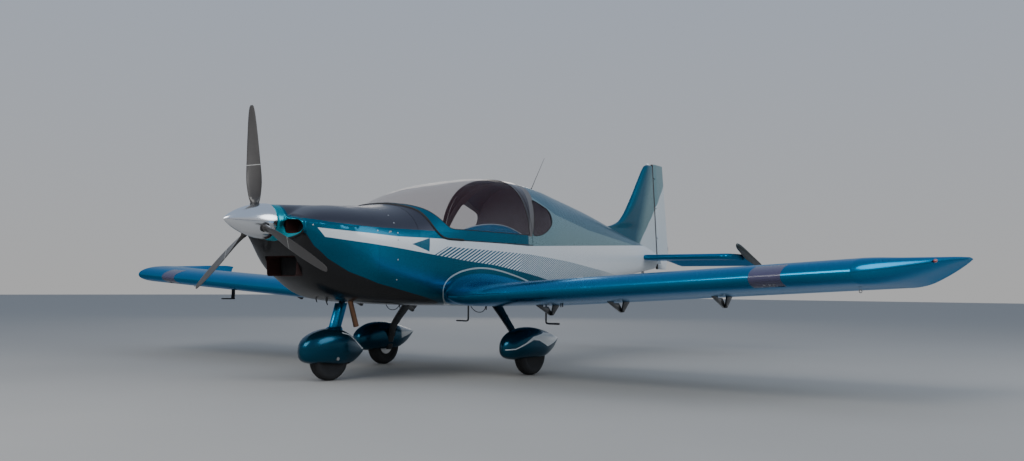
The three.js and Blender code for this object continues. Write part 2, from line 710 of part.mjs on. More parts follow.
/** Moves a body made at neutral to the elevator's rest angle. */
function drooped(body) {
  const geometry = shape(body);
  geometry.translate(0, -ELEVATOR_HINGE, -STAB_Z);
  geometry.rotateX(ELEVATOR_DROOP);
  geometry.translate(0, ELEVATOR_HINGE, STAB_Z);
  return geometry;
}

function buildTail() {
  const nose = STAB_REAR + MOVING_GAP;
  const thick = ELEVATOR.thickness;
  let stabiliser = solid(stabiliserGeometry(0));
  let elevator = solid(crossRod(-ELEVATOR.tubeHalf, ELEVATOR.tubeHalf, ELEVATOR_PIVOT, ELEVATOR.tube));
  for (const side of [-1, 1]) {
    const outer = side * (STAB_HALF + 12);
    const half = loft([
      elevatorRing(side * ELEVATOR.root, nose, nose + ELEVATOR.rootLength, thick),
      elevatorRing(side * ELEVATOR.shoulder, nose, ELEVATOR_TAIL, thick),
      elevatorRing(outer, nose, ELEVATOR_TAIL, thick),
    ]);
    const horn = loft([
      elevatorRing(outer, HORN_NOSE + 10, ELEVATOR_TAIL, thick),
      elevatorRing(side * (ELEVATOR_HALF - 40), HORN_NOSE, ELEVATOR_TAIL, thick + 4),
      elevatorRing(side * ELEVATOR_HALF, HORN_NOSE + 60, ELEVATOR_TAIL - 30, thick / 2 - 2),
    ]);
    elevator = elevator.add(solid(half)).add(solid(horn));
  }
  for (const x of ELEVATOR_HINGES) {
    stabiliser = stabiliser.add(lugAt(x, STAB_REAR - 10, ELEVATOR_PIVOT));
    elevator = elevator.subtract(lugRoom(x, STAB_REAR, ELEVATOR_PIVOT));
  }
  add('stabiliser', shape(stabiliser), TEAL);
  add('elevator', drooped(elevator), TEAL);
}

// Fin leading edge: height, station, section thickness
const FIN = [
  [1120, 2350, 30],
  [1410, 2511, 34],
  [1457, 2884, 48],
  [1509, 2994, 62],
  [1678, 3106, 78],
  [1910, 3243, 70],
  [2121, 3348, 60],
  [2172, 3400, 50],
  [2192, 3460, 34],
].map(([height, nose, thickness]) => ({ height, nose, thickness }));

const RUDDER_FOOT_Z = 960;
const RUDDER_TOP_Z = 2212;
const HINGE_FOOT = { y: 3735, z: 1132 };
const HINGE_TOP = { y: 3623, z: 2210 };

/** Station of the rudder's pivot line at a height. */
const hingeY = (z) => HINGE_FOOT.y
  + ((HINGE_TOP.y - HINGE_FOOT.y) * (z - HINGE_FOOT.z)) / (HINGE_TOP.z - HINGE_FOOT.z);
const RUDDER_FOOT_TAIL = 3960;
const RUDDER_KNEE_Z = 1141;
const RUDDER_TAPER = 157 / 1080;
/** Station of the rudder's trailing edge at a height. */
const rudderTail = (z) => (z < RUDDER_KNEE_Z
  ? THREE.MathUtils.mapLinear(z, RUDDER_FOOT_Z, RUDDER_KNEE_Z, RUDDER_FOOT_TAIL, RUDDER_TAIL)
  : RUDDER_TAIL - (z - RUDDER_KNEE_Z) * RUDDER_TAPER);

/** Vertical section with a round nose, level at a height. */
function finRing(z, nose, rear, thickness, tailThickness) {
  const ring = [];
  const steps = 5;
  const half = thickness / 2;
  const bulge = Math.min(half * 3, (rear - nose) * 0.6);
  for (let i = -steps; i <= steps; i++) {
    const angle = (Math.PI / 2) * (i / steps);
    ring.push(new THREE.Vector3(half * Math.sin(angle), nose + bulge * (1 - Math.cos(angle)), z));
  }
  ring.push(new THREE.Vector3(tailThickness / 2, rear, z));
  ring.push(new THREE.Vector3(-tailThickness / 2, rear, z));
  return ring;
}

const RUDDER = { nose: 26, thickness: 50, tail: 5, hinges: [1330, 1690, 2040] };
const RUDDER_TAB = { half: 1.5, front: 3985, low: 1160, high: 1235 };
const TAILPLANE_NOTCH = { front: 3600, rear: 3795, low: STAB_Z - 62, high: STAB_Z + 44 };
const STROBE = { y: 3520, height: 28, radius: 12, topRadius: 9 };

/** Moves a piece made round the Z axis onto the rudder's pivot line at a height. */
function ontoRudderLine(geometry, z) {
  const lean = Math.atan2(HINGE_FOOT.y - HINGE_TOP.y, HINGE_TOP.z - HINGE_FOOT.z);
  return geometry.rotateX(lean).translate(0, hingeY(z), z);
}

/** Lug on the fin with its pin along the pivot line. */
function rudderLug(z) {
  const arm = box(-LUG.height, LUG.height, -RUDDER.nose - 16, 0, -LUG.half, LUG.half);
  const eye = rod([0, 0, -LUG.half], [0, 0, LUG.half], LUG.height, 12);
  const pin = rod([0, 0, -LUG.pinHalf], [0, 0, LUG.pinHalf], LUG.pin, 10);
  return [arm, eye, pin].map((piece) => solid(ontoRudderLine(piece, z)))
    .reduce((all, piece) => all.add(piece));
}

/** Notch and bore in the rudder round such a lug. */
function rudderRoom(z) {
  const reach = LUG.half + LUG.side;
  const notch = box(-LUG.clear, LUG.clear, -LUG.clear, LUG.behind, -reach, reach);
  const bore = rod([0, 0, -BORE_HALF], [0, 0, BORE_HALF], LUG.pin + GAP, 10);
  return solid(ontoRudderLine(notch, z)).add(solid(ontoRudderLine(bore, z)));
}

function buildFin() {
  const rearFace = (z) => hingeY(z) - RUDDER.nose - MOVING_GAP;
  const blade = loft(FIN.map((row) => finRing(row.height, row.nose, rearFace(row.height), row.thickness,
    RUDDER.thickness)));
  let fin = solid(blade).subtract(bodySolid(2100, TAIL_END + 90, -GAP));

  const levels = [RUDDER_FOOT_Z, RUDDER_KNEE_Z, 1700, RUDDER_TOP_Z];
  const section = (z) => finRing(z, hingeY(z) - RUDDER.nose, rudderTail(z), RUDDER.thickness, RUDDER.tail);
  const { front, rear, low, high } = TAILPLANE_NOTCH;
  const tab = box(-RUDDER_TAB.half, RUDDER_TAB.half, RUDDER_TAB.front, RUDDER_TAIL, RUDDER_TAB.low,
    RUDDER_TAB.high);
  let rudder = solid(loft(levels.map(section)))
    .subtract(solid(box(-FAR, FAR, front, rear, low, high)))
    .add(solid(tab));
  for (const z of RUDDER.hinges) {
    fin = fin.add(rudderLug(z));
    rudder = rudder.subtract(rudderRoom(z));
  }
  add('fin', shape(fin), TEAL);
  add('rudder', shape(rudder), PALE);
  const seat = FIN[FIN.length - 1].height + GAP;
  add('strobe', rod([0, STROBE.y, seat], [0, STROBE.y, seat + STROBE.height], STROBE.radius, 12,
    STROBE.topRadius), GLASS);
}

// Propeller

const SPINNER_WALL = 4;
const HUB = { plate: 8, plateRadius: 126.2, radius: 62, front: 50, shaftEnd: -1940 };
const BLADE_ROOT = { reach: 46, hole: 38, seat: 33.4, top: 240 };
const BLADE_REST_TURN = THREE.MathUtils.degToRad(-5);

/** Spinner profile from its tip, outside and back along the inside. */
function spinnerProfile() {
  const length = SPINNER_BACK - SPINNER_TIP;
  const steps = 9;
  const station = (i) => (i / steps) ** 1.4;
  const radius = (s) => SPINNER_RADIUS * (1 - (1 - s) ** 1.8) ** 0.8;
  const profile = [new THREE.Vector2(0, 0)];
  for (let i = 1; i <= steps; i++) {
    profile.push(new THREE.Vector2(radius(station(i)), station(i) * length));
  }
  for (let i = steps; i >= 1; i--) {
    const back = i === steps ? length : station(i) * length + SPINNER_WALL;
    profile.push(new THREE.Vector2(Math.max(radius(station(i)) - SPINNER_WALL, 2), back));
  }
  profile.push(new THREE.Vector2(0, SPINNER_WALL + 2));
  return profile;
}

/** Round bar standing up from near the shaft line. */
function bladeBar(radius, from) {
  return rod([0, PROP_PLANE, from], [0, PROP_PLANE, BLADE_ROOT.top], radius, 16);
}

function buildPropeller() {
  const along = (from, to, radius, sides) => solid(
    rod([0, from, PROP_AXIS_Z], [0, to, PROP_AXIS_Z], radius, sides));
  const turned = new THREE.LatheGeometry(spinnerProfile(), 24);
  let spinner = solid(turned.translate(0, SPINNER_TIP, PROP_AXIS_Z));
  let hub = along(SPINNER_BACK - HUB.plate, SPINNER_BACK, HUB.plateRadius, 24)
    .add(along(PROP_PLANE - HUB.front, SPINNER_BACK - 2, HUB.radius, 16))
    .add(along(SPINNER_BACK - 2, HUB.shaftEnd, SHAFT_RADIUS, 16));
  for (let i = 0; i < BLADE_COUNT; i++) {
    const turn = BLADE_REST_TURN + (2 * Math.PI * i) / BLADE_COUNT;
    const hole = bladeBar(BLADE_ROOT.hole, BLADE_ROOT.reach + 40);
    const seat = bladeBar(BLADE_ROOT.seat, BLADE_ROOT.reach - GAP);
    const blade = bladeGeometry();
    for (const piece of [hole, seat, blade]) {
      piece.translate(0, -PROP_PLANE, 0).rotateY(turn).translate(0, PROP_PLANE, PROP_AXIS_Z);
    }
    spinner = spinner.subtract(solid(hole));
    hub = hub.subtract(solid(seat));
    add(`blade_${i + 1}`, blade, BLADE_GREY);
  }
  add('spinner', shape(spinner), CHROME);
  add('propeller_hub', shape(hub), STEEL);
}

// Blade sections: distance from the shaft line, chord, thickness, pitch in degrees
const BLADE = [
  [BLADE_ROOT.reach, 64, 64, 60],
  [120, 64, 60, 58],
  [170, 86, 34, 52],
  [290, 112, 20, 40],
  [450, 104, 14, 29],
  [620, 86, 10, 22],
  [770, 62, 7, 18],
  [PROP_RADIUS, 26, 4, 16],
].map(([reach, chord, thickness, pitch]) => ({ reach, chord, thickness, pitch }));

function bladeGeometry() {
  const count = 12;
  return loft(BLADE.map((row) => {
    const turn = THREE.MathUtils.degToRad(row.pitch);
    const ring = [];
    for (let i = 0; i < count; i++) {
      const angle = (2 * Math.PI * i) / count;
      const along = (row.chord / 2) * Math.cos(angle);
      const off = (row.thickness / 2) * Math.sin(angle);
      ring.push(new THREE.Vector3(along * Math.cos(turn) - off * Math.sin(turn),
        PROP_PLANE + along * Math.sin(turn) + off * Math.cos(turn), row.reach));
    }
    return ring;
  }));
}

// Engine bay
const ENGINE = { half: 280, front: -1885, rear: -1480, low: 945, high: 1225, bossRadius: 62 };
const ENGINE_MOUNT = { half: 150, low: 960, high: 1150 };
const RADIATOR = { half: 270, front: -1800, rear: -1740, low: 790, high: 940 };
const EXHAUST = { from: [100, -1346, 640], to: [100, -1268, 414], radius: 22 };

function buildEngine() {
  const boss = rod([0, -1975, PROP_AXIS_Z], [0, ENGINE.front + 5, PROP_AXIS_Z], ENGINE.bossRadius, 16);
  const bore = rod([0, -1990, PROP_AXIS_Z], [0, HUB.shaftEnd + 2, PROP_AXIS_Z], SHAFT_RADIUS + 1, 16);
  const block = box(-ENGINE.half, ENGINE.half, ENGINE.front, ENGINE.rear, ENGINE.low, ENGINE.high);
  const mount = box(-ENGINE_MOUNT.half, ENGINE_MOUNT.half, ENGINE.rear - 2, FIREWALL - GAP,
    ENGINE_MOUNT.low, ENGINE_MOUNT.high);
  const engine = solid(block).add(solid(boss)).subtract(solid(bore)).add(solid(mount));
  add('engine', shape(engine.intersect(bodySolid(FRONT_FACE + 30, FIREWALL + 4, 22))), ALLOY);

  const wall = bodySolid(FIREWALL + GAP, FIREWALL + GAP + SKIN, SKIN + 0.6);
  add('firewall', shape(wall), STEEL);

  const core = box(-RADIATOR.half, RADIATOR.half, RADIATOR.front, RADIATOR.rear, RADIATOR.low, RADIATOR.high);
  add('radiator', shape(solid(core).intersect(bodySolid(-1990, -1500, SKIN + GAP))), BLACK);

  const pipe = solid(rod(EXHAUST.from, EXHAUST.to, EXHAUST.radius, 14));
  add('exhaust', shape(pipe.subtract(bodySolid(-1600, -1000, -GAP))), RUST);
}

// Cockpit
const PANEL = { half: 340, inset: SKIN + 30 };
const PANEL_OUTLINE = [
  [-985, 1300], [-700, 1262], [-700, 1240], [-720, 1020], [-735, 1020], [-735, 1225], [-985, 1270],
];
const PEDESTAL = { half: 70, front: -800, rear: -722, top: 1020 };

function buildCockpit() {
  const panel = solid(sidePrism(PANEL_OUTLINE, -PANEL.half, PANEL.half));
  add('instrument_panel', shape(panel.intersect(bodySolid(-1250, -500, PANEL.inset))), BLACK);
  const stand = box(-PEDESTAL.half, PEDESTAL.half, PEDESTAL.front, PEDESTAL.rear, 0, PEDESTAL.top - GAP);
  add('panel_stand', shape(solid(stand).intersect(insideCabin())), BLACK);
}

/** Room inside the cabin's skin, from the firewall to the rear. */
function insideCabin() {
  return bodySolid(FIREWALL + 1, CABIN_END - 1, SKIN + GAP);
}

const SEAT = { x: 250, half: 195, foot: 640 };
const SEAT_OUTLINE = [
  [-330, 735], [150, 705], [320, 1180], [385, 1180], [240, 660], [190, SEAT.foot], [-330, SEAT.foot],
];
const SEAT_BASE = { half: 440, front: -310, rear: 185 };
const STICK = { footY: -420, topY: -380, topZ: 950, radius: 15, topRadius: 11 };

function buildSeats() {
  const base = box(-SEAT_BASE.half, SEAT_BASE.half, SEAT_BASE.front, SEAT_BASE.rear, 0, SEAT.foot - GAP);
  add('seat_base', shape(solid(base).intersect(insideCabin())), BLACK);
  for (const [side, name] of [[1, 'port'], [-1, 'starboard']]) {
    const x = side * SEAT.x;
    add(`seat_${name}`, sidePrism(SEAT_OUTLINE, x - SEAT.half, x + SEAT.half), LEATHER);
    const stick = rod([x, STICK.footY, 560], [x, STICK.topY, STICK.topZ], STICK.radius, 10, STICK.topRadius);
    add(`stick_${name}`, shape(solid(stick).intersect(insideCabin())), BLACK);
  }
}

// Undercarriage

/** Tyre turned about its axle line, with the axle along X. */
function tyreGeometry(radius, half, bore) {
  const profile = [
    [bore, -half * 0.7], [radius - 44, -half], [radius - 14, -half * 0.84],
    [radius, -half * 0.42], [radius, half * 0.42], [radius - 14, half * 0.84], [radius - 44, half],
    [bore, half * 0.7], [bore, -half * 0.7],
  ].map(([r, x]) => new THREE.Vector2(r, x));
  const geometry = new THREE.LatheGeometry(profile, WHEEL_SIDES);
  geometry.rotateZ(-Math.PI / 2);
  return geometry;
}

function rimGeometry(radius, half, bore) {
  const profile = [
    [bore, -half], [bore + 22, -half * 0.6], [radius - 22, -half * 0.6],
    [radius, -half], [radius, half], [radius - 22, half * 0.6], [bore + 22, half * 0.6],
    [bore, half], [bore, -half],
  ].map(([r, x]) => new THREE.Vector2(r, x));
  const geometry = new THREE.LatheGeometry(profile, WHEEL_SIDES);
  geometry.rotateZ(-Math.PI / 2);
  return geometry;
}

/** Wheel and tyre centred at a point. */
function addWheel(name, x, y) {
  const tyre = tyreGeometry(TYRE_RADIUS, TYRE_HALF_WIDTH, RIM_RADIUS + GAP);
  const rim = rimGeometry(RIM_RADIUS, TYRE_HALF_WIDTH * 0.62, AXLE_RADIUS + AXLE_CLEARANCE);
  tyre.translate(x, y, AXLE_Z);
  rim.translate(x, y, AXLE_Z);
  add(`tyre_${name}`, tyre, RUBBER);
  add(`rim_${name}`, rim, ALLOY);
}

// Wheel fairing sections along Y from the wheel: station, top, bottom, half width
const MAIN_SPAT = spatRows([
  [-372, 250, 205, 10],
  [-350, 298, 168, 52],
  [-280, 350, 142, 88],
  [-170, 388, 136, 108],
  [-30, 398, 136, 114],
  [120, 376, 138, 104],
  [260, 340, 190, 66],
  [350, 314, 250, 32],
  [399, 300, 288, 8],
]);
const NOSE_SPAT = spatRows([
  [-290, 258, 215, 10],
  [-270, 300, 168, 50],
  [-215, 348, 142, 84],
  [-120, 384, 128, 106],
  [-10, 400, 118, 114],
  [100, 388, 110, 106],
  [200, 346, 120, 74],
  [290, 286, 160, 36],
  [354, 238, 204, 8],
]);

/** Named columns of a wheel fairing's table. */
function spatRows(rows) {
  return rows.map(([station, top, bottom, half]) => ({ station, top, bottom, half }));
}

/** Closed teardrop of a wheel fairing, set in by an amount. */
function spatSolid(table, x, y, inset) {
  const rows = inset > 0 ? table.slice(1, -2) : table;
  return solid(loft(rows.map((row) => {
    const ring = [];
    const middle = (row.top + row.bottom) / 2;
    const count = 16;
    for (let i = 0; i < count; i++) {
      const angle = (2 * Math.PI * i) / count;
      const [c, s] = [Math.cos(angle), Math.sin(angle)];
      const power = 2 / 2.5;
      ring.push(new THREE.Vector3(
        x + Math.sign(c) * Math.abs(c) ** power * (row.half - inset),
        y + row.station,
        middle + Math.sign(s) * Math.abs(s) ** power * ((row.top - row.bottom) / 2 - inset),
      ));
    }
    return ring;
  })));
}

const SPAT_WALL = 5;
const SPAT_ROOM = { half: 66, clear: 12 };

/** Hollow fairing with an open bottom round its wheel. */
function spatShell(table, x, y) {
  const reach = TYRE_RADIUS + SPAT_ROOM.clear;
  const room = crossRod(x - SPAT_ROOM.half, x + SPAT_ROOM.half, [y, AXLE_Z], reach, WHEEL_SIDES);
  const slot = box(x - SPAT_ROOM.half, x + SPAT_ROOM.half, y - reach, y + reach, 0, AXLE_Z);
  return spatSolid(table, x, y, 0)
    .subtract(spatSolid(table, x, y, SPAT_WALL))
    .subtract(solid(room))
    .subtract(solid(slot));
}

/** Flat spring leg from rings of four corners: centre, half length along Y, half thickness. */
function springLeg(stops) {
  return loft(stops.map(({ x, y, z, half, thick, lean }) => [
    new THREE.Vector3(x - thick * Math.cos(lean), y - half, z - thick * Math.sin(lean)),
    new THREE.Vector3(x + thick * Math.cos(lean), y - half, z + thick * Math.sin(lean)),
    new THREE.Vector3(x + thick * Math.cos(lean), y + half, z + thick * Math.sin(lean)),
    new THREE.Vector3(x - thick * Math.cos(lean), y + half, z - thick * Math.sin(lean)),
  ]));
}

const LEG_FOOT_X = TRACK_HALF - 74;
const LEG_LEAN = THREE.MathUtils.degToRad(48);
// Main leg: distance out, station, height, half length along Y, half thickness, lean
const MAIN_LEG = [
  [440, -30, 641, 62, 11, LEG_LEAN],
  [521, -30, 570, 60, 11, LEG_LEAN],
  [762, -128, 372, 36, 10, LEG_LEAN],
  [LEG_FOOT_X, -60, 300, 34, 9, 0],
  [LEG_FOOT_X, 0, 140, 34, 9, 0],
].map(([x, y, z, half, thick, lean]) => ({ x, y, z, half, thick, lean }));

/** Main leg with its foot, clear of the belly. */
function mainLeg(grow) {
  const stops = MAIN_LEG.map((stop) => ({ ...stop, half: stop.half + grow, thick: stop.thick + grow }));
  return solid(springLeg(stops));
}

const AXLE = { end: 40, capFrom: 32, capTo: 46, capStep: 8, shoulderTo: -32, shoulderStep: 10 };

function buildMainGear() {
  const along = (from, to, radius) => solid(crossRod(from, to, [0, AXLE_Z], radius, 14));
  const axle = along(LEG_FOOT_X, TRACK_HALF + AXLE.end, AXLE_RADIUS)
    .add(along(TRACK_HALF + AXLE.capFrom, TRACK_HALF + AXLE.capTo, AXLE_RADIUS + AXLE.capStep))
    .add(along(LEG_FOOT_X, TRACK_HALF + AXLE.shoulderTo, AXLE_RADIUS + AXLE.shoulderStep));
  addPair('main_leg', shape(mainLeg(0).subtract(bodySolid(-1300, 1400, -GAP))), BLACK);
  addPair('main_axle', shape(axle.subtract(mainLeg(GAP))), STEEL);
  addPair('main_spat', shape(spatShell(MAIN_SPAT, TRACK_HALF, 0).subtract(mainLeg(GAP))), TEAL);
  addWheel('port', TRACK_HALF, 0);
  addWheel('starboard', -TRACK_HALF, 0);
}

const LEG_TOP = { y: -1326.3, z: 607 };
const LEG_FOOT = { y: -1400, z: 388 };

/** Point on the steering line, a distance down from the belly. */
function steeringPoint(down) {
  const tilt = Math.atan2(LEG_TOP.y - LEG_FOOT.y, LEG_TOP.z - LEG_FOOT.z);
  return [0, LEG_TOP.y - down * Math.sin(tilt), LEG_TOP.z - down * Math.cos(tilt)];
}

/** Faired nose leg, grown by an amount. */
function fairedLeg(grow) {
  const outline = [[-62, 4], [-50, 24], [-15, 30], [20, 20], [58, 3]];
  const section = (point, drop) => {
    const upper = outline.map(([along, half]) => (
      new THREE.Vector3(half + grow, point[1] + along + Math.sign(along) * grow, point[2] + drop)));
    const lower = [...outline].reverse().map(([along, half]) => (
      new THREE.Vector3(-half - grow, point[1] + along + Math.sign(along) * grow, point[2] + drop)));
    return [...upper, ...lower];
  };
  return solid(loft([section(steeringPoint(14), 0), section(steeringPoint(243), -grow)]));
}

const FORK = { inner: 66, outer: 74, fore: -32, aft: 40, top: 370, crown: 20, foot: 140, footHalf: 28 };
const NOSE_AXLE_END = 106;
const STRUT = { radius: 24, low: 258, high: -50 };
const SOCKET = { radius: 40, high: -120, half: 50, low: 668, top: 700 };

/** Fork over the nose wheel: a crown and a plate on each side. */
function noseFork(grow) {
  const [fore, aft] = [NOSE_AXLE + FORK.fore - grow, NOSE_AXLE + FORK.aft + grow];
  const crown = box(-FORK.outer - grow, FORK.outer + grow, fore, aft, FORK.top - FORK.crown, FORK.top + grow);
  let fork = solid(crown);
  for (const inner of [-FORK.outer - grow, FORK.inner - grow]) {
    fork = fork.add(solid(sidePrism([
      [fore, FORK.top - 6], [aft, FORK.top - 6],
      [NOSE_AXLE + FORK.footHalf + grow, FORK.foot - grow],
      [NOSE_AXLE - FORK.footHalf - grow, FORK.foot - grow],
    ], inner, inner + FORK.outer - FORK.inner + 2 * grow)));
  }
  return fork;
}

function buildNoseGear() {
  const pivot = [NOSE_AXLE, AXLE_Z];
  const axle = (grow) => solid(crossRod(-NOSE_AXLE_END, NOSE_AXLE_END, pivot, AXLE_RADIUS + grow, 14));
  const strut = solid(rod(steeringPoint(STRUT.low), steeringPoint(STRUT.high), STRUT.radius, 14));
  const leg = fairedLeg(0).add(strut).add(noseFork(0)).subtract(axle(GAP));
  add('nose_leg', shape(leg), TEAL);
  add('nose_axle', shape(axle(0)), STEEL);
  const spat = spatShell(NOSE_SPAT, 0, NOSE_AXLE)
    .subtract(noseFork(GAP))
    .subtract(fairedLeg(GAP))
    .subtract(axle(GAP));
  add('nose_spat', shape(spat), TEAL);
  addWheel('nose', 0, NOSE_AXLE);
  const tube = rod(steeringPoint(STRUT.high - GAP), steeringPoint(SOCKET.high), SOCKET.radius, 14);
  const flange = box(-SOCKET.half, SOCKET.half, FIREWALL + GAP + SKIN + GAP, LEG_TOP.y + 10, SOCKET.low,
    SOCKET.top);
  add('nose_leg_socket', shape(solid(tube).add(solid(flange))), STEEL);
}

// Small outside pieces
const ANTENNA = { foot: [0, 1139, 1652], top: [0, 1398, 2042], radius: 4, topRadius: 1.5 };
const ANTENNA_BOOT = { foot: [0, 1136, 1650], top: [0, 1150, 1690], radius: 9, topRadius: 6 };
const PITOT = { x: -2490, y: -500, top: 680.4, low: 588, radius: 7, tubeZ: 592, tip: -640 };

function buildFittings() {
  const tapered = ({ foot, top, radius, topRadius }) => solid(rod(foot, top, radius, 8, topRadius));
  const whip = tapered(ANTENNA).add(tapered(ANTENNA_BOOT));
  add('antenna', shape(whip.subtract(bodySolid(900, 1400, -GAP))), STEEL);

  const foot = [STEP.x, STEP.y, STEP.z - STEP.radius];
  const post = solid(rod([STEP.x, STEP.y, STEP.top], foot, STEP.radius, 10));
  const tread = solid(crossRod(STEP.x, STEP.x + STEP.reach, [STEP.y, STEP.z], STEP.radius, 10));
  addPair('step', shape(post.add(tread).subtract(bodySolid(500, 1300, -GAP))), BLACK);

  const { x, y, top, low, radius, tubeZ, tip } = PITOT;
  const mast = solid(rod([x, y, top], [x, y, low], radius, 8));
  const tube = solid(rod([x, y + 20, tubeZ], [x, tip, tubeZ], radius - 1, 8));
  add('pitot', shape(mast.add(tube)), BLACK);
}

buildCowling();
buildCabin();
buildRearFuselage();
buildWing();
buildRootFairing();
buildTail();
buildFin();
buildPropeller();
buildEngine();
buildCockpit();
buildSeats();
buildMainGear();
buildNoseGear();
buildFittings();

export default aircraft;
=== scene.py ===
"""Looks of a two-seat light aircraft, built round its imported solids.

Sizes are in millimetres from the main axle: x to port, station (y) aft, height (z) up from the ground.
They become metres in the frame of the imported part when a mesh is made.
"""

from __future__ import annotations

import json
import logging
import math
from dataclasses import dataclass, field
from enum import Enum
from typing import Any, Callable, Sequence

import bmesh
import bpy
import numpy as np
from mathutils import Matrix, Vector
from mathutils.bvhtree import BVHTree

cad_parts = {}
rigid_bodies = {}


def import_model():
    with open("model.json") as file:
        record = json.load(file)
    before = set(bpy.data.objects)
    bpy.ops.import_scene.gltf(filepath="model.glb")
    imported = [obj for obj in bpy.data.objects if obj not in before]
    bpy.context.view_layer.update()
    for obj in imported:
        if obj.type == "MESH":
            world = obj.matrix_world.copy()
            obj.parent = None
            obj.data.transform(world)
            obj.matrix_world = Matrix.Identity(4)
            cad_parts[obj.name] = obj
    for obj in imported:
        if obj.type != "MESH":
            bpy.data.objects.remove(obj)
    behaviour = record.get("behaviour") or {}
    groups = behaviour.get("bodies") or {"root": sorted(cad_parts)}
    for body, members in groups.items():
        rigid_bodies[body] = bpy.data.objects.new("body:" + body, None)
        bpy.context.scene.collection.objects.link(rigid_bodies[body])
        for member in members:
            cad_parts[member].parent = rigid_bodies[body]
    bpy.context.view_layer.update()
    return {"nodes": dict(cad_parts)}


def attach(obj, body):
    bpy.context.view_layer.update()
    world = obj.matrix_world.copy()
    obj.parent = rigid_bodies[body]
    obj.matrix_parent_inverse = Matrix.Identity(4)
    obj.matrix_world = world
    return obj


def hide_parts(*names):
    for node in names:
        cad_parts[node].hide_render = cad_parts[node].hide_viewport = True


log = logging.getLogger("aircraft")

Point = tuple[float, float, float]
Flat = tuple[float, float]
Line = Sequence[Flat]
Table = Sequence[tuple[float, ...]]
Material = bpy.types.Material
Socket = bpy.types.NodeSocket
Thing = bpy.types.Object

MM = 0.001
CENTRE = 783.5
AXLE_HEIGHT = 170.0
POST_LEAN = 0.104
MERGE = 0.00002


class Side(Enum):
    """Side of the aircraft, with the sign of its x."""

    PORT = 1
    STARBOARD = -1

    @property
    def word(self) -> str:
        """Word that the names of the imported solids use."""
        return self.name.lower()


class Axis(Enum):
    """Axis that an outline is carried along, with its place in a point."""

    X = 0
    Y = 1
    Z = 2


# Curves and sections


def between(keys: np.ndarray, values: np.ndarray, places: np.ndarray) -> np.ndarray:
    """Smooth curve through rows of numbers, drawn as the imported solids' curves are.

    Args:
        keys: Rising place of each row.
        values: One row of numbers for each place.
        places: Where the curve is wanted.

    Returns:
        One row of numbers for each wanted place.
    """
    last = len(keys) - 1
    at = np.clip(np.searchsorted(keys, places, side="left") - 1, 0, last - 1)
    before, after = np.maximum(at - 1, 0), np.minimum(at + 2, last)
    span = keys[at + 1] - keys[at]
    t = np.clip((places - keys[at]) / span, 0, 1)[:, None]
    leave = (values[at + 1] - values[before]) / (keys[at + 1] - keys[before])[:, None] * span[:, None]
    arrive = (values[after] - values[at]) / (keys[after] - keys[at])[:, None] * span[:, None]
    t2, t3 = t * t, t * t * t
    start, end = 2 * t3 - 3 * t2 + 1, 3 * t2 - 2 * t3
    return start * values[at] + (t3 - 2 * t2 + t) * leave + end * values[at + 1] + (t3 - t2) * arrive


def rows_at(table: Sequence[Sequence[float]], places: np.ndarray) -> np.ndarray:
    """Smooth curve through a table whose first column holds the places.

    Args:
        table: Rows of a place and its numbers.
        places: Where the curve is wanted.

    Returns:
        One row of numbers for each wanted place.
    """
    rows = np.asarray(table, float)
    return between(rows[:, 0], rows[:, 1:], places)


def run_along(path: np.ndarray) -> np.ndarray:
    """Distance from the start of a path to each of its points."""
    return np.concatenate([[0.0], np.cumsum(np.linalg.norm(np.diff(path, axis=0), axis=1))])


def smooth_line(points: Sequence[Sequence[float]], count: int, closed: bool = False) -> np.ndarray:
    """Evenly spaced points of a smooth curve through given points.

    Args:
        points: Points that the curve passes.
        count: Number of points to return.
        closed: Whether the curve comes back to its start.

    Returns:
        Array of count points.
    """
    given = np.asarray(points, float)
    if closed:
        given = np.vstack([given[-2:], given, given[:3]])
    steps = np.maximum(np.linalg.norm(np.diff(given, axis=0), axis=1), 1e-6)
    keys = np.concatenate([[0.0], np.cumsum(steps)])
    low, high = (keys[2], keys[-3]) if closed else (keys[0], keys[-1])
    dense = between(keys, given, np.linspace(low, high, count * 8))
    lengths = run_along(dense)
    wanted = np.linspace(0, lengths[-1], count, endpoint=not closed)
    return np.column_stack([np.interp(wanted, lengths, column) for column in dense.T])


def circle(count: int) -> tuple[np.ndarray, np.ndarray]:
    """Cosines and sines of even angles round a circle."""
    angle = np.linspace(0, 2 * math.pi, count, endpoint=False)
    return np.cos(angle), np.sin(angle)


def rounded_box(half_wide: float, half_high: float, radius: float, steps: int = 5) -> list[Flat]:
    """Outline of a box with round corners, centred on zero.

    Args:
        half_wide: Half its width.
        half_high: Half its height.
        radius: Radius of its corners.
        steps: Straight pieces in each corner.

    Returns:
        Points of the outline, turning one way.
    """
    outline = []
    for number, (sx, sy) in enumerate([(1, 1), (-1, 1), (-1, -1), (1, -1)]):
        for step in range(steps + 1):
            angle = math.pi / 2 * (number + step / steps)
            outline.append((sx * (half_wide - radius) + radius * math.cos(angle),
                            sy * (half_high - radius) + radius * math.sin(angle)))
    return outline


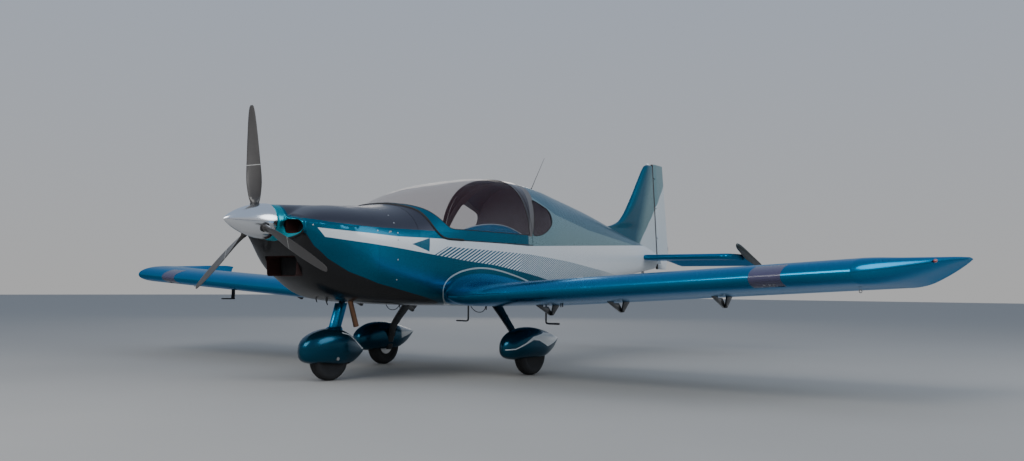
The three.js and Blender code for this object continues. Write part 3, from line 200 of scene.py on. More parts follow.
@dataclass(frozen=True)
class Aerofoil:
    """Section of a wing: its thickness and the height of its curved middle line."""

    thickness: float
    camber: float

    def skin(self, part: np.ndarray, side: int) -> np.ndarray:
        """Height of the skin over the chord line.

        Args:
            part: Parts of the chord, from the nose.
            side: 1 for the upper skin and -1 for the lower one.

        Returns:
            Height at each part.
        """
        root = np.sqrt(np.maximum(part, 0))
        half = 5 * self.thickness * (0.2969 * root - 0.126 * part - 0.3516 * part ** 2
                                     + 0.2843 * part ** 3 - 0.1036 * part ** 4)
        return 4 * self.camber * part * (1 - part) + side * np.maximum(half, 1.2)

    def ring(self, x: float, nose: Flat, tail: Flat, rear: float = 1.0, steps: int = 26) -> np.ndarray:
        """Closed section from its rear over the top to the nose and back below.

        Args:
            x: Distance out.
            nose: Station and height of the nose.
            tail: Station and height of the tail.
            rear: Part of the chord where the section ends.
            steps: Points on each side.

        Returns:
            Points of the section.
        """
        part = rear * np.linspace(1, 0, steps) ** 2
        upper = self.place(x, nose, tail, part, 1)
        lower = self.place(x, nose, tail, part[::-1][1:], -1)
        return np.vstack([upper, lower])

    def place(self, x: float, nose: Flat, tail: Flat, part: np.ndarray, side: int) -> np.ndarray:
        """Points of one skin between a nose and a tail.

        Args:
            x: Distance out.
            nose: Station and height of the nose.
            tail: Station and height of the tail.
            part: Parts of the chord.
            side: 1 for the upper skin and -1 for the lower one.

        Returns:
            One point for each part.
        """
        y = nose[0] + (tail[0] - nose[0]) * part
        z = nose[1] + (tail[1] - nose[1]) * part + self.skin(part, side)
        return np.column_stack([np.full_like(part, x), y, z])


# Meshes


@dataclass
class Shape:
    """Corners and faces of one mesh, in millimetres, with the number of each face's finish."""

    points: list[Point] = field(default_factory=list)
    faces: list[tuple[int, ...]] = field(default_factory=list)
    marks: list[int] = field(default_factory=list)

    def grid(self, rows: Sequence[Any], around: bool = False, mark: int = 0) -> Shape:
        """Adds a skin over rows of points.

        Args:
            rows: Points in rows of equal length.
            around: Whether each row closes on itself.
            mark: Number of the faces' finish.

        Returns:
            This shape.
        """
        places = np.asarray(rows)
        count, across, _ = places.shape
        base = len(self.points)
        self.points.extend(map(tuple, places.reshape(-1, 3)))
        for i in range(count - 1):
            for j in range(across if around else across - 1):
                a = base + i * across + j
                b = base + i * across + (j + 1) % across
                self.faces.append((a, b, b + across, a + across))
                self.marks.append(mark)
        return self

    def loft(self, rings: Sequence[np.ndarray], mark: int = 0, ends: bool = True) -> Shape:
        """Adds a skin round rings of equal length.

        Args:
            rings: Rings of points.
            mark: Number of the faces' finish.
            ends: Whether both ends are closed.

        Returns:
            This shape.
        """
        rows = np.asarray(rings, float)
        base, across = len(self.points), rows.shape[1]
        self.grid(rows, True, mark)
        if ends:
            last = base + (len(rows) - 1) * across
            self.faces.append(tuple(range(base + across - 1, base - 1, -1)))
            self.faces.append(tuple(range(last, last + across)))
            self.marks.extend([mark, mark])
        return self

    def tube(self, path: Sequence[Sequence[float]], radius: float | Sequence[float], sides: int = 14,
             mark: int = 0, ends: bool = True, closed: bool = False) -> Shape:
        """Adds a round bar along a path.

        Args:
            path: Points of the middle line.
            radius: Radius, or one for each point.
            sides: Sides of the bar.
            mark: Number of the faces' finish.
            ends: Whether its ends are closed.
            closed: Whether the path closes on itself.

        Returns:
            This shape.
        """
        line = np.asarray(path, float)
        radii = np.broadcast_to(np.asarray(radius, float), (len(line),))
        if closed:
            ahead = np.roll(line, -1, 0) - np.roll(line, 1, 0)
        else:
            ahead = np.gradient(line, axis=0)
        ahead = ahead / np.linalg.norm(ahead, axis=1)[:, None]
        seed = np.array([0.0, 0, 1]) if abs(ahead[0][2]) < 0.9 else np.array([1.0, 0, 0])
        c, s = circle(sides)
        rings = []
        for place, forward, reach in zip(line, ahead, radii):
            across = np.cross(forward, seed)
            across /= np.linalg.norm(across)
            seed = np.cross(across, forward)
            rings.append(place + reach * (c[:, None] * across + s[:, None] * seed))
        if closed:
            rings.append(rings[0])
        return self.loft(rings, mark, ends and not closed)

    def turned(self, profile: Line, centre: Point, axis: Point, sides: int = 48,
               mark: int = 0) -> Shape:
        """Adds a turned body.

        Args:
            profile: Distance along the axis and radius, from one end to the other.
            centre: Point that the distances count from.
            axis: Direction of the axis.
            sides: Sides round the axis.
            mark: Number of the faces' finish.

        Returns:
            This shape.
        """
        along = np.asarray(axis, float) / np.linalg.norm(axis)
        seed = np.array([0.0, 0, 1]) if abs(along[2]) < 0.9 else np.array([1.0, 0, 0])
        across = np.cross(along, seed)
        across /= np.linalg.norm(across)
        up = np.cross(across, along)
        c, s = circle(sides)
        spokes = c[:, None] * across + s[:, None] * up
        rings = [np.asarray(centre) + place * along + max(radius, 0.01) * spokes for place, radius in profile]
        return self.loft(rings, mark)

    def prism(self, outline: Line, start: float, end: float, along: Axis = Axis.X, mark: int = 0) -> Shape:
        """Adds an outline carried along one axis.

        Args:
            outline: Points in the plane of the two other axes, in the order x, y, z.
            start: Where the prism begins on its axis.
            end: Where it ends.
            along: Axis that it is carried along.
            mark: Number of the faces' finish.

        Returns:
            This shape.
        """
        flat = np.asarray(outline, float)
        rings = [np.insert(flat, along.value, place, axis=1) for place in (start, end)]
        return self.loft(rings, mark)

    def block(self, low: Point, high: Point, mark: int = 0) -> Shape:
        """Adds a box between two corners; its edges are rounded only when the piece is made with a rounding.

        Args:
            low: Lowest corner.
            high: Highest corner.
            mark: Number of the faces' finish.

        Returns:
            This shape.
        """
        outline = [(low[1], low[2]), (high[1], low[2]), (high[1], high[2]), (low[1], high[2])]
        return self.prism(outline, low[0], high[0], mark=mark)

    def join(self, other: Shape) -> Shape:
        """Adds another shape to this one and returns this one.

        Args:
            other: Shape to add.

        Returns:
            This shape.
        """
        base = len(self.points)
        self.points.extend(other.points)
        self.faces.extend(tuple(i + base for i in face) for face in other.faces)
        self.marks.extend(other.marks)
        return self

    def mirrored(self) -> Shape:
        """Mirror image on the other side of the centre plane."""
        points = [(-x, y, z) for x, y, z in self.points]
        return Shape(points, [face[::-1] for face in self.faces], list(self.marks))

    def on(self, side: Side) -> Shape:
        """This shape for port, or its mirror image for starboard."""
        return self if side is Side.PORT else self.mirrored()

    def moved(self, turn: Matrix, place: Point = (0.0, 0.0, 0.0)) -> Shape:
        """Copy of this shape, turned about zero and then moved.

        Args:
            turn: Rotation.
            place: Where its zero goes.

        Returns:
            The copy.
        """
        points = [tuple(turn @ Vector(p) + Vector(place)) for p in self.points]
        return Shape(points, list(self.faces), list(self.marks))


def row_frame(points: Sequence[Point]) -> np.ndarray:
    """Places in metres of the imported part's frame.

    Args:
        points: Points in millimetres.

    Returns:
        One row for each point.
    """
    places = np.asarray(points, float) * MM
    places[:, 1] -= CENTRE * MM
    return places


@dataclass
class Piece:
    """One visible piece: its name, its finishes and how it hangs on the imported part."""

    name: str
    looks: Sequence[Material]
    body: str
    slot: str
    replaces: Sequence[str] = ()
    sharp: float = 32.0
    wall: float = 0.0
    rounding: float = 0.0
    cutters: Sequence[Shape] = ()
    outward: Point | None = None
    folded: bool = False

    def make(self, shape: Shape) -> Thing:
        """Makes the mesh object and fastens it to its body.

        Args:
            shape: Shape of the piece.

        Returns:
            The object.
        """
        thing = raw_object(self.name, shape, self.outward)
        for look in self.looks:
            thing.data.materials.append(look)
        thing.data.polygons.foreach_set("material_index", shape_marks(thing, len(self.looks)))
        if self.wall:
            solid = thing.modifiers.new("wall", "SOLIDIFY")
            solid.thickness = self.wall * MM
            solid.offset = -1
        for number, cutter in enumerate(self.cutters):
            tool = raw_object(f"{self.name}_cutter_{number}", cutter)
            cut = thing.modifiers.new("cut", "BOOLEAN")
            cut.operation = "DIFFERENCE"
            cut.solver = "EXACT"
            cut.use_self = self.folded
            cut.object = tool
        if self.rounding:
            bevel = thing.modifiers.new("rounding", "BEVEL")
            bevel.width = self.rounding * MM
            bevel.segments = 2
            bevel.limit_method = "ANGLE"
            bevel.angle_limit = math.radians(self.sharp)
        settle(thing, self.sharp)
        for number in range(len(self.cutters)):
            bpy.data.objects.remove(bpy.data.objects[f"{self.name}_cutter_{number}"])
        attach(thing, self.body)
        if self.replaces:
            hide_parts(*self.replaces)
        log.info("%s on %s: %d faces", self.name, self.body, len(thing.data.polygons))
        return thing


def shape_marks(thing: Thing, count: int) -> list[int]:
    """Finish number of each face, kept from the shape while its mesh was made.

    Args:
        thing: Object just made.
        count: How many finishes it has.

    Returns:
        One number for each face.
    """
    marks = [0] * len(thing.data.polygons)
    layer = thing.data.attributes.get("finish")
    if layer is not None:
        layer.data.foreach_get("value", marks)
        thing.data.attributes.remove(layer)
    return [min(mark, count - 1) for mark in marks]


def raw_object(name: str, shape: Shape, outward: Point | None = None) -> Thing:
    """Mesh object of a shape, with its doubled corners joined and its faces turned out.

    Args:
        name: Name of the object.
        shape: Shape to make.
        outward: For an open skin, a point behind it, in millimetres.

    Returns:
        The object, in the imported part's frame.
    """
    mesh = bpy.data.meshes.new(name)
    mesh.from_pydata([tuple(p) for p in row_frame(shape.points)], [], shape.faces)
    layer = mesh.attributes.new("finish", "INT", "FACE")
    layer.data.foreach_set("value", shape.marks)
    work = bmesh.new()
    work.from_mesh(mesh)
    bmesh.ops.remove_doubles(work, verts=work.verts, dist=MERGE)
    bmesh.ops.dissolve_degenerate(work, edges=work.edges, dist=MERGE)
    bmesh.ops.recalc_face_normals(work, faces=work.faces)
    if outward is not None:
        behind = Vector(row_frame([outward])[0])
        lean = sum(f.normal.dot(f.calc_center_median() - behind) * f.calc_area() for f in work.faces)
        if lean < 0:
            bmesh.ops.reverse_faces(work, faces=work.faces)
    work.to_mesh(mesh)
    work.free()
    thing = bpy.data.objects.new(name, mesh)
    bpy.context.scene.collection.objects.link(thing)
    return thing


def settle(thing: Thing, sharp: float) -> None:
    """Applies the object's modifiers and shades it smooth up to an angle.

    Args:
        thing: Object to settle.
        sharp: Angle in degrees above which an edge stays sharp.
    """
    if thing.modifiers:
        graph = bpy.context.evaluated_depsgraph_get()
        mesh = bpy.data.meshes.new_from_object(thing.evaluated_get(graph))
        old = thing.data
        thing.modifiers.clear()
        thing.data = mesh
        bpy.data.meshes.remove(old)
    thing.data.name = thing.name
    thing.data.shade_smooth()
    thing.data.set_sharp_from_angle(angle=math.radians(sharp))


def inflate(thing: Thing, cap: float, grain: float = 0.008, pressure: float = 4, count: int = 20) -> None:
    """Blows a cushion up with a short cloth simulation and smooths it once.

    Args:
        thing: Object to blow up.
        cap: Most in millimetres that a point may move.
        grain: Size in metres of the mesh's squares.
        pressure: Pressure inside.
        count: Steps of the simulation.
    """
    looks = list(thing.data.materials)
    remesh = thing.modifiers.new("grain", "REMESH")
    remesh.mode = "VOXEL"
    remesh.voxel_size = grain
    settle(thing, 60)
    scene = bpy.context.scene
    start = np.empty(len(thing.data.vertices) * 3)
    thing.data.vertices.foreach_get("co", start)
    cloth = thing.modifiers.new("cloth", "CLOTH")
    cloth.settings.use_pressure = True
    cloth.settings.uniform_pressure_force = pressure
    cloth.settings.effector_weights.gravity = 0
    for step in range(1, count + 1):
        scene.frame_set(step)
    graph = bpy.context.evaluated_depsgraph_get()
    blown = np.empty_like(start)
    thing.evaluated_get(graph).data.vertices.foreach_get("co", blown)
    thing.modifiers.clear()
    scene.frame_set(1)
    move = (blown - start).reshape(-1, 3)
    reach = np.linalg.norm(move, axis=1)[:, None]
    move *= np.minimum(1, cap * MM / np.maximum(reach, 1e-9))
    thing.data.vertices.foreach_set("co", start + move.ravel())
    fine = thing.modifiers.new("fine", "SUBSURF")
    fine.levels = 1
    settle(thing, 60)
    thing.data.materials.clear()
    for look in looks:
        thing.data.materials.append(look)


# Body of the fuselage


class BodyForm:
    """Outer form of the fuselage: smooth sections through a table of rows, with a round ridge on the nose."""

    ROWS = (
        (-2015, 1234, 1056, 330, 1140, 3.2, 2.2),
        (-1900, 1288, 824, 370, 1130, 2.8, 2.4),
        (-1800, 1319, 736, 397, 1115, 2.6, 2.4),
        (-1626, 1341, 652, 441, 1085, 2.5, 2.9),
        (-1410, 1352, 614, 490, 1050, 2.5, 3.8),
        (-1000, 1399, 588, 532, 1000, 2.5, 5),
        (-700, 1522, 575, 547, 1000, 2.5, 5),
        (-450, 1599, 570, 552, 1000, 2.55, 5),
        (80, 1699, 562, 553, 1000, 2.6, 5),
        (450, 1727, 570, 540, 1000, 2.6, 4.6),
        (900, 1703, 606, 492, 1000, 2.6, 4),
        (1325, 1637, 655, 420, 1010, 2.6, 3.6),
        (2000, 1522, 745, 305, 1040, 2.5, 3.2),
        (2700, 1370, 838, 195, 1060, 2.4, 2.8),
        (3300, 1246, 918, 112, 1078, 2.3, 2.6),
        (3640, 1165, 962, 62, 1082, 2.2, 2.4),
    )
    RIDGE = ((-2080.0, 1192.0, 125.0), (-1600.0, 1166.0, 177.0))
    VALLEY = 26.0
    FRONT, FIREWALL, CABIN_END, TAIL_END = -2015.0, -1410.0, 900.0, 3640.0

    def values(self, stations: Sequence[float]) -> np.ndarray:
        """Crown, keel, half width, height of the widest line and two powers at each station."""
        return rows_at(self.ROWS, np.asarray(stations, float))

    def ridge(self, station: float) -> Flat:
        """Height of the middle and radius of the ridge behind the spinner.

        Args:
            station: Where the ridge is cut.

        Returns:
            Height and radius.
        """
        (y0, z0, r0), (y1, z1, r1) = self.RIDGE
        part = (station - y0) / (y1 - y0)
        return z0 + (z1 - z0) * part, r0 + (r1 - r0) * part

    def outline(self, station: float, inset: float = 0.0) -> np.ndarray:
        """Port half of a section from crown to keel.

        Args:
            station: Where the section is.
            inset: How far it lies inside the skin.

        Returns:
            Many points (x, z).
        """
        crown, keel, half, waist, upper, lower = self.values([station])[0]
        w = np.linspace(0, 1, 300)
        angle = math.pi / 2 * (w * w * (3 - 2 * w))
        c, s = np.cos(angle), np.sin(angle)
        c[-1], s[0] = 0.0, 0.0
        top = np.column_stack([s ** (2 / upper) * (half - inset), waist + c ** (2 / upper) * (crown - waist - inset)])
        low = np.column_stack([c ** (2 / lower) * (half - inset), waist - s ** (2 / lower) * (waist - keel - inset)])
        end = self.RIDGE[1][0]
        if station < end:
            middle, radius = self.ridge(station)
            arch = middle + np.sqrt(np.maximum((radius - inset) ** 2 - top[:, 0] ** 2, 0))
            soft = self.VALLEY * (end - station) / (end - self.FRONT) + 0.01
            near = np.maximum(soft - np.abs(arch - top[:, 1]), 0)
            top[:, 1] = np.maximum(arch, top[:, 1]) + near ** 2 / (4 * soft)
        return np.vstack([top, low[1:]])

    def strip(self, stations: Sequence[float], upper: Callable[[float], float] | None,
              lower: Callable[[float], float] | None, across: int, inset: float = 0.0) -> np.ndarray:
        """Grid over the port side between two heights, spaced evenly along each section.

        Args:
            stations: Stations of the rows.
            upper: Height of the upper edge at a station, or None for the crown.
            lower: Height of the lower edge at a station, or None for the keel.
            across: Points in each row.
            inset: How far the grid lies inside the skin.

        Returns:
            Array of rows of points, from the upper edge down.
        """
        rows = []
        for station in stations:
            path = self.outline(station, inset)
            lengths = run_along(path)
            fall = np.maximum.accumulate(-path[:, 1])
            start = 0.0 if upper is None else float(np.interp(-upper(station), fall, lengths))
            end = lengths[-1] if lower is None else float(np.interp(-lower(station), fall, lengths))
            wanted = np.linspace(start, max(end, start), across)
            rows.append(np.column_stack([np.interp(wanted, lengths, path[:, 0]), np.full(across, station),
                                         np.interp(wanted, lengths, path[:, 1])]))
        return np.array(rows)

    def surface(self, station: float, part: float, inset: float = 0.0) -> Point:
        """Point of the port skin at a part of the way from crown to keel.

        Args:
            station: Where the section is.
            part: Part of the way round.
            inset: How far the point lies inside the skin.

        Returns:
            The point.
        """
        path = self.outline(station, inset)
        lengths = run_along(path)
        wanted = part * lengths[-1]
        return (float(np.interp(wanted, lengths, path[:, 0])), station,
                float(np.interp(wanted, lengths, path[:, 1])))

    def part_at(self, station: float, height: float) -> float:
        """Part of the way from crown to keel at which the skin has a height.

        Args:
            station: Where the section is.
            height: Height of the point.

        Returns:
            Part of the way round.
        """
        path = self.outline(station)
        lengths = run_along(path)
        fall = np.maximum.accumulate(-path[:, 1])
        return float(np.interp(-height, fall, lengths)) / lengths[-1]

    def half_width(self, station: float, height: float) -> float:
        """Half width of the body at a height, or 0 above and below it.

        Args:
            station: Where the section is.
            height: Height over the ground.

        Returns:
            The half width.
        """
        crown, keel, half, waist, upper, lower = self.values([station])[0]
        up = height >= waist
        part = abs(height - waist) / ((crown - waist) if up else (waist - keel))
        power = upper if up else lower
        return half * (1 - part ** power) ** (1 / power) if part < 1 else 0.0

    def ribbon(self, line: Line, width: float, count: int, proud: float = 0.7,
               closed: bool = False) -> np.ndarray:
        """Strip that lies on the port skin along a line of the side view.

        Args:
            line: Stations and heights that the line passes.
            width: Width of the strip.
            count: Points along it.
            proud: How far it stands out of the skin.
            closed: Whether the line comes back to its start.

        Returns:
            Rows of four points across the strip.
        """
        middle = smooth_line(line, count, closed)
        ahead = np.roll(middle, -1, 0) - np.roll(middle, 1, 0) if closed else np.gradient(middle, axis=0)
        ahead /= np.linalg.norm(ahead, axis=1)[:, None]
        side = np.column_stack([-ahead[:, 1], ahead[:, 0]])
        rows = []
        for part in (-0.5, -0.17, 0.17, 0.5):
            rows.append([(self.half_width(y, z) + proud, y, z) for y, z in middle + side * width * part])
        return np.array(rows).transpose(1, 0, 2)

    def stud(self, station: float, height: float, radius: float, rise: float) -> Shape:
        """Low round head on the port skin.

        Args:
            station: Where it sits.
            height: Its height.
            radius: Its radius.
            rise: How far it stands out.

        Returns:
            The head.
        """
        x = self.half_width(station, height)
        run = (self.half_width(station + 4, height) - self.half_width(station - 4, height)) / 8
        fall = (self.half_width(station, height + 4) - self.half_width(station, height - 4)) / 8
        profile = [(-1.0, radius), (rise * 0.4, radius), (rise * 0.8, radius * 0.8), (rise, radius * 0.45)]
        return Shape().turned(profile, (x, station, height), (1, -run, -fall), 16)


BODY = BodyForm()


def both_sides(rows: np.ndarray) -> np.ndarray:
    """Port grid and its mirror image as one grid across the centre plane, from starboard to port.

    Args:
        rows: Rows of the port side.

    Returns:
        The wider rows.
    """
    other = rows[:, ::-1].copy()
    other[:, :, 0] *= -1
    return np.concatenate([other[:, :-1], rows], axis=1)


def steps(start: float, end: float, pitch: float) -> np.ndarray:
    """Even places from start to end, about a pitch apart."""
    return np.linspace(start, end, max(2, int(round(abs(end - start) / pitch)) + 1))


# Finishes


class Field:
    """A number that changes over a surface, made of shader nodes and joined by plain arithmetic."""

    def __init__(self, tree: bpy.types.NodeTree, socket: Socket) -> None:
        """Holds one output of a shader tree."""
        self.tree = tree
        self.socket = socket

    def join(self, operation: str, *others: Field | float, clamp: bool = False) -> Field:
        """One Math node fed by this field and others.

        Args:
            operation: Blender's name of the operation.
            *others: Further inputs.
            clamp: Whether the result is kept between 0 and 1.

        Returns:
            The node's output.
        """
        node = self.tree.nodes.new("ShaderNodeMath")
        node.operation = operation
        node.use_clamp = clamp
        for slot, value in zip(node.inputs, (self, *others)):
            if isinstance(value, Field):
                self.tree.links.new(value.socket, slot)
            else:
                slot.default_value = float(value)
        return Field(self.tree, node.outputs[0])

    def __add__(self, other: Field | float) -> Field:
        """Sum."""
        return self.join("ADD", other)

    def __sub__(self, other: Field | float) -> Field:
        """Difference."""
        return self.join("SUBTRACT", other)

    def __mul__(self, other: Field | float) -> Field:
        """Product."""
        return self.join("MULTIPLY", other)

    def __truediv__(self, other: Field | float) -> Field:
        """Quotient."""
        return self.join("DIVIDE", other)

    def least(self, other: Field | float) -> Field:
        """Smaller of two."""
        return self.join("MINIMUM", other)

    def most(self, other: Field | float) -> Field:
        """Larger of two."""
        return self.join("MAXIMUM", other)

    def size(self) -> Field:
        """Value without its sign."""
        return self.join("ABSOLUTE")

    def wave(self, pitch: float) -> Field:
        """Distance from the nearest multiple of a pitch."""
        return self.join("PINGPONG", pitch / 2)

    def beyond(self, edge: Field | float, soft: float = 0.001) -> Field:
        """1 where this field is over an edge, 0 where it is under, with a short ramp between."""
        return ((self - edge) / soft).join("ADD", 0.5, clamp=True)

    def flipped(self) -> Field:
        """One minus this field."""
        return (self * -1.0) + 1.0


Colour = tuple[float, float, float]


class Surface:
    """Material in the making: its shader and the place of each point, in millimetres."""

    def __init__(self, name: str) -> None:
        """Starts a material with one Principled shader.

        Args:
            name: Name of the finish.
        """
        self.material = bpy.data.materials.new(name)
        self.material.use_nodes = True
        self.tree = self.material.node_tree
        self.shader = self.tree.nodes["Principled BSDF"]
        self.coords = self.tree.nodes.new("ShaderNodeTexCoord").outputs["Object"]
        split = self.tree.nodes.new("ShaderNodeSeparateXYZ")
        self.tree.links.new(self.coords, split.inputs[0])
        self.x = Field(self.tree, split.outputs[0]) * (1 / MM)
        self.y = Field(self.tree, split.outputs[1]) * (1 / MM) + CENTRE
        self.z = Field(self.tree, split.outputs[2]) * (1 / MM)

    def set(self, **values: float | Colour) -> Surface:
        """Sets plain values on the shader's sockets; a name's underscores stand for blanks.

        Args:
            **values: Value of each socket.

        Returns:
            This surface.
        """
        for name, value in values.items():
            socket = self.shader.inputs[name.replace("_", " ")]
            socket.default_value = (*value, 1.0) if isinstance(value, tuple) else value
        return self

    def noise(self, size: float, detail: float = 2.0) -> Field:
        """Cloudy field between about 0.3 and 0.7.

        Args:
            size: Size of the clouds in millimetres.
            detail: Levels of finer clouds.

        Returns:
            The field.
        """
        node = self.tree.nodes.new("ShaderNodeTexNoise")
        node.inputs["Scale"].default_value = 1 / (size * MM)
        node.inputs["Detail"].default_value = detail
        self.tree.links.new(self.coords, node.inputs["Vector"])
        return Field(self.tree, node.outputs["Fac"])

    def cells(self, size: float) -> Field:
        """Random value for each cell of a fine grain, as in metal flake.

        Args:
            size: Size of a cell in millimetres.

        Returns:
            The field.
        """
        node = self.tree.nodes.new("ShaderNodeTexVoronoi")
        node.inputs["Scale"].default_value = 1 / (size * MM)
        self.tree.links.new(self.coords, node.inputs["Vector"])
        split = self.tree.nodes.new("ShaderNodeSeparateColor")
        self.tree.links.new(node.outputs["Color"], split.inputs[0])
        return Field(self.tree, split.outputs[0])

    def line(self, places: Line) -> Field:
        """Height of a broken line of the side view at each point's station.

        Args:
            places: Station and height of its corners, with rising stations.

        Returns:
            The height, held level past both ends.
        """
        first = self.y.most(places[0][0]).least(places[-1][0])
        height: Field | float = places[0][1]
        slope = 0.0
        for (y0, z0), (y1, z1) in zip(places, places[1:]):
            new = (z1 - z0) / (y1 - y0)
            height = (first - y0).most(0) * (new - slope) + height
            slope = new
        return height

    def grooves(self, across: Field, places: Sequence[float], width: float) -> Field:
        """1 in narrow seams at given places of a field.

        Args:
            across: Field that the places count in.
            places: Where the seams are.
            width: Half width of a seam in millimetres.

        Returns:
            The field.
        """
        total = (across - places[0]).size().beyond(width, width).flipped()
        for place in places[1:]:
            total = total.most((across - place).size().beyond(width, width).flipped())
        return total

    def rivets(self, across: Field, places: Sequence[float], along: Field, pitch: float) -> Field:
        """Round rivet heads in rows.

        Args:
            across: Field that the rows' places count in.
            places: Where the rows are.
            along: Field along the rows.
            pitch: Distance between rivets.

        Returns:
            1 on each head and 0 around.
        """
        near = (across - places[0]).size()
        for place in places[1:]:
            near = near.least((across - place).size())
        step = along.wave(pitch)
        return (near * near + step * step).beyond(9, 6).flipped()

    def mix(self, under: Socket | Colour, over: Socket | Colour,
            mask: Field) -> Socket:
        """Colour laid over another where a mask is 1.

        Args:
            under: Colour below.
            over: Colour on top.
            mask: Where the top one shows.

        Returns:
            The joined colour.
        """
        node = self.tree.nodes.new("ShaderNodeMix")
        node.data_type = "RGBA"
        self.tree.links.new(mask.socket, node.inputs[0])
        for slot, value in ((node.inputs[6], under), (node.inputs[7], over)):
            if isinstance(value, tuple):
                slot.default_value = (*value, 1.0)
            else:
                self.tree.links.new(value, slot)
        return node.outputs[2]

    def feed(self, name: str, source: Field | Socket) -> Surface:
        """Links a field or colour to one of the shader's sockets.

        Args:
            name: Name of the socket.
            source: What feeds it.

        Returns:
            This surface.
        """
        socket = source.socket if isinstance(source, Field) else source
        self.tree.links.new(socket, self.shader.inputs[name])
        return self

    def bump(self, height: Field, depth: float, strength: float = 1.0) -> Surface:
        """Relief from a field of heights.

        Args:
            height: Height between 0 and 1.
            depth: Millimetres that 1 stands for.
            strength: Share of the relief that shows.

        Returns:
            This surface.
        """
        node = self.tree.nodes.new("ShaderNodeBump")
        node.inputs["Strength"].default_value = strength
        node.inputs["Distance"].default_value = depth * MM
        self.tree.links.new(height.socket, node.inputs["Height"])
        self.tree.links.new(node.outputs[0], self.shader.inputs["Normal"])
        return self


class Tint:
    """Base colours of the aircraft's finishes."""

    TEAL: Colour = (0.0006, 0.125, 0.208)
    TEAL_DEEP: Colour = (0.0004, 0.078, 0.135)
    GRAPHITE: Colour = (0.064, 0.066, 0.088)
    WHITE: Colour = (0.80, 0.82, 0.82)
    PALE: Colour = (0.20, 0.34, 0.37)
    BELLY: Colour = (0.007, 0.007, 0.008)
    # Near-black glossy stand-in for the canopy glass, painted on the hull: partly the smoked tint, partly the painted
    # shade of the cabin behind it; also the dark band along the fin's hinge line.
    SMOKED: Colour = (0.030, 0.024, 0.028)
    BOW: Colour = (0.13, 0.12, 0.118)
    EDGE: Colour = (0.30, 0.62, 0.92)
    # Wheel fairings: a darker copy of the body teal, painted shade.
    SPAT: Colour = (0.0004, 0.052, 0.094)
    # Wings, tail and small fairings: a lighter, bluer copy of the body teal, partly the real teal and partly a painted
    # sky reflection.
    BLUE: Colour = (0.0008, 0.200, 0.375)
    BLUE_DEEP: Colour = (0.0005, 0.145, 0.280)
    COLLAR: Colour = (0.003, 0.290, 0.370)


class Paints:
    """Colour fields that several paints share."""

    @staticmethod
    def teal(paint: Surface, light: Colour = Tint.TEAL, deep: Colour = Tint.TEAL_DEEP
             ) -> tuple[Field, Socket]:
        """Metallic teal: its flake and its colour, which changes slowly over the surface.

        Args:
            paint: Surface that it is for.
            light: Colour of its light parts.
            deep: Colour of its dark parts.

        Returns:
            The flake and the colour.
        """
        flake, tone = paint.cells(1.4), paint.noise(420, 2)
        return flake, paint.mix(deep, light, (flake * 0.5 + tone).join("ADD", -0.1, clamp=True))


@dataclass(frozen=True)
class MetallicPaint:
    """Coated metallic paint with fine flake, light orange peel, panel seams and rivet rows; its teal is lightened and
    blued, partly the real teal and partly a painted sky reflection.
    """

    name: str
    seams: Sequence[float] = ()
    rows: Sequence[float] = ()
    spars: Sequence[float] = ()

    def make(self) -> Material:
        """Builds the material.

        Returns:
            The material.
        """
        paint = Surface(self.name)
        # The teal here is lighter and bluer than the body's: partly the real teal, partly a painted sky reflection.
        flake, colour = Paints.teal(paint, Tint.BLUE, Tint.BLUE_DEEP)
        paint.feed("Base Color", colour)
        paint.feed("Roughness", flake * 0.08 + 0.2)
        paint.set(Metallic=0.92, Coat_Weight=0.1, Coat_Roughness=0.04, Specular_Tint=Tint.EDGE)
        height = paint.noise(14, 1) * 0.08
        if self.seams:
            out = paint.x.size()
            height = height + paint.grooves(out, self.seams, 2.2) * -0.8
            height = height + paint.rivets(out, self.rows, paint.y, 38) * 0.5
            height = height + paint.rivets(paint.y, self.spars, paint.x, 38) * 0.5
        return paint.bump(height, 0.8).material


@dataclass(frozen=True)
class SpatPaint:
    """Teal paint of a wheel fairing, a darker teal as painted shade, with a white streak that widens to the tail; the
    streak is left off the inner side ahead of the rear as painted shade.
    """

    name: str
    axle: float
    upper: Line
    lower: Line
    middle: float = -1.0

    def make(self) -> Material:
        """Builds the material.

        Returns:
            The material.
        """
        paint = Surface(self.name)
        # A darker teal than the body's: painted shade.
        flake, teal = Paints.teal(paint, Tint.SPAT, Tint.SPAT)
        places = [[(self.axle + y, z) for y, z in line] for line in (self.upper, self.lower)]
        white = paint.z.beyond(paint.line(places[0]), 2).flipped() * paint.z.beyond(paint.line(places[1]), 2)
        # On the inner side the white streak is left off ahead of the rear, where shade falls: painted shade.
        outer = (paint.x.size().beyond(self.middle, 3) + paint.y.beyond(150, 30)).least(1.0)
        white = white * paint.y.beyond(places[0][0][0], 2) * outer
        paint.feed("Base Color", paint.mix(teal, Tint.WHITE, white))
        paint.feed("Metallic", white * -0.7 + 0.8)
        paint.feed("Roughness", flake * 0.08 + 0.2)
        paint.set(Coat_Weight=0.15, Coat_Roughness=0.04)
        return paint.bump(paint.noise(14, 1), 0.05).material


@dataclass(frozen=True)
class Plain:
    """Simple finish with a grain: its colour varies a little and its relief is fine."""

    name: str
    colour: Colour
    rough: float = 0.5
    metal: float = 0.0
    grain: float = 2.0
    relief: float = 0.05
    variety: float = 0.3
    coat: float = 0.0

    def make(self) -> Material:
        """Builds the material.

        Returns:
            The material.
        """
        skin = Surface(self.name)
        cloud = skin.noise(self.grain * 30, 4)
        dark = tuple(channel * (1 - self.variety) for channel in self.colour)
        skin.feed("Base Color", skin.mix(dark, self.colour, (cloud - 0.3) * 2.5))
        skin.feed("Roughness", cloud * 0.2 + (self.rough - 0.1))
        skin.set(Metallic=self.metal, Coat_Weight=self.coat, Coat_Roughness=0.06)
        return skin.bump(skin.noise(self.grain, 3), self.relief).material


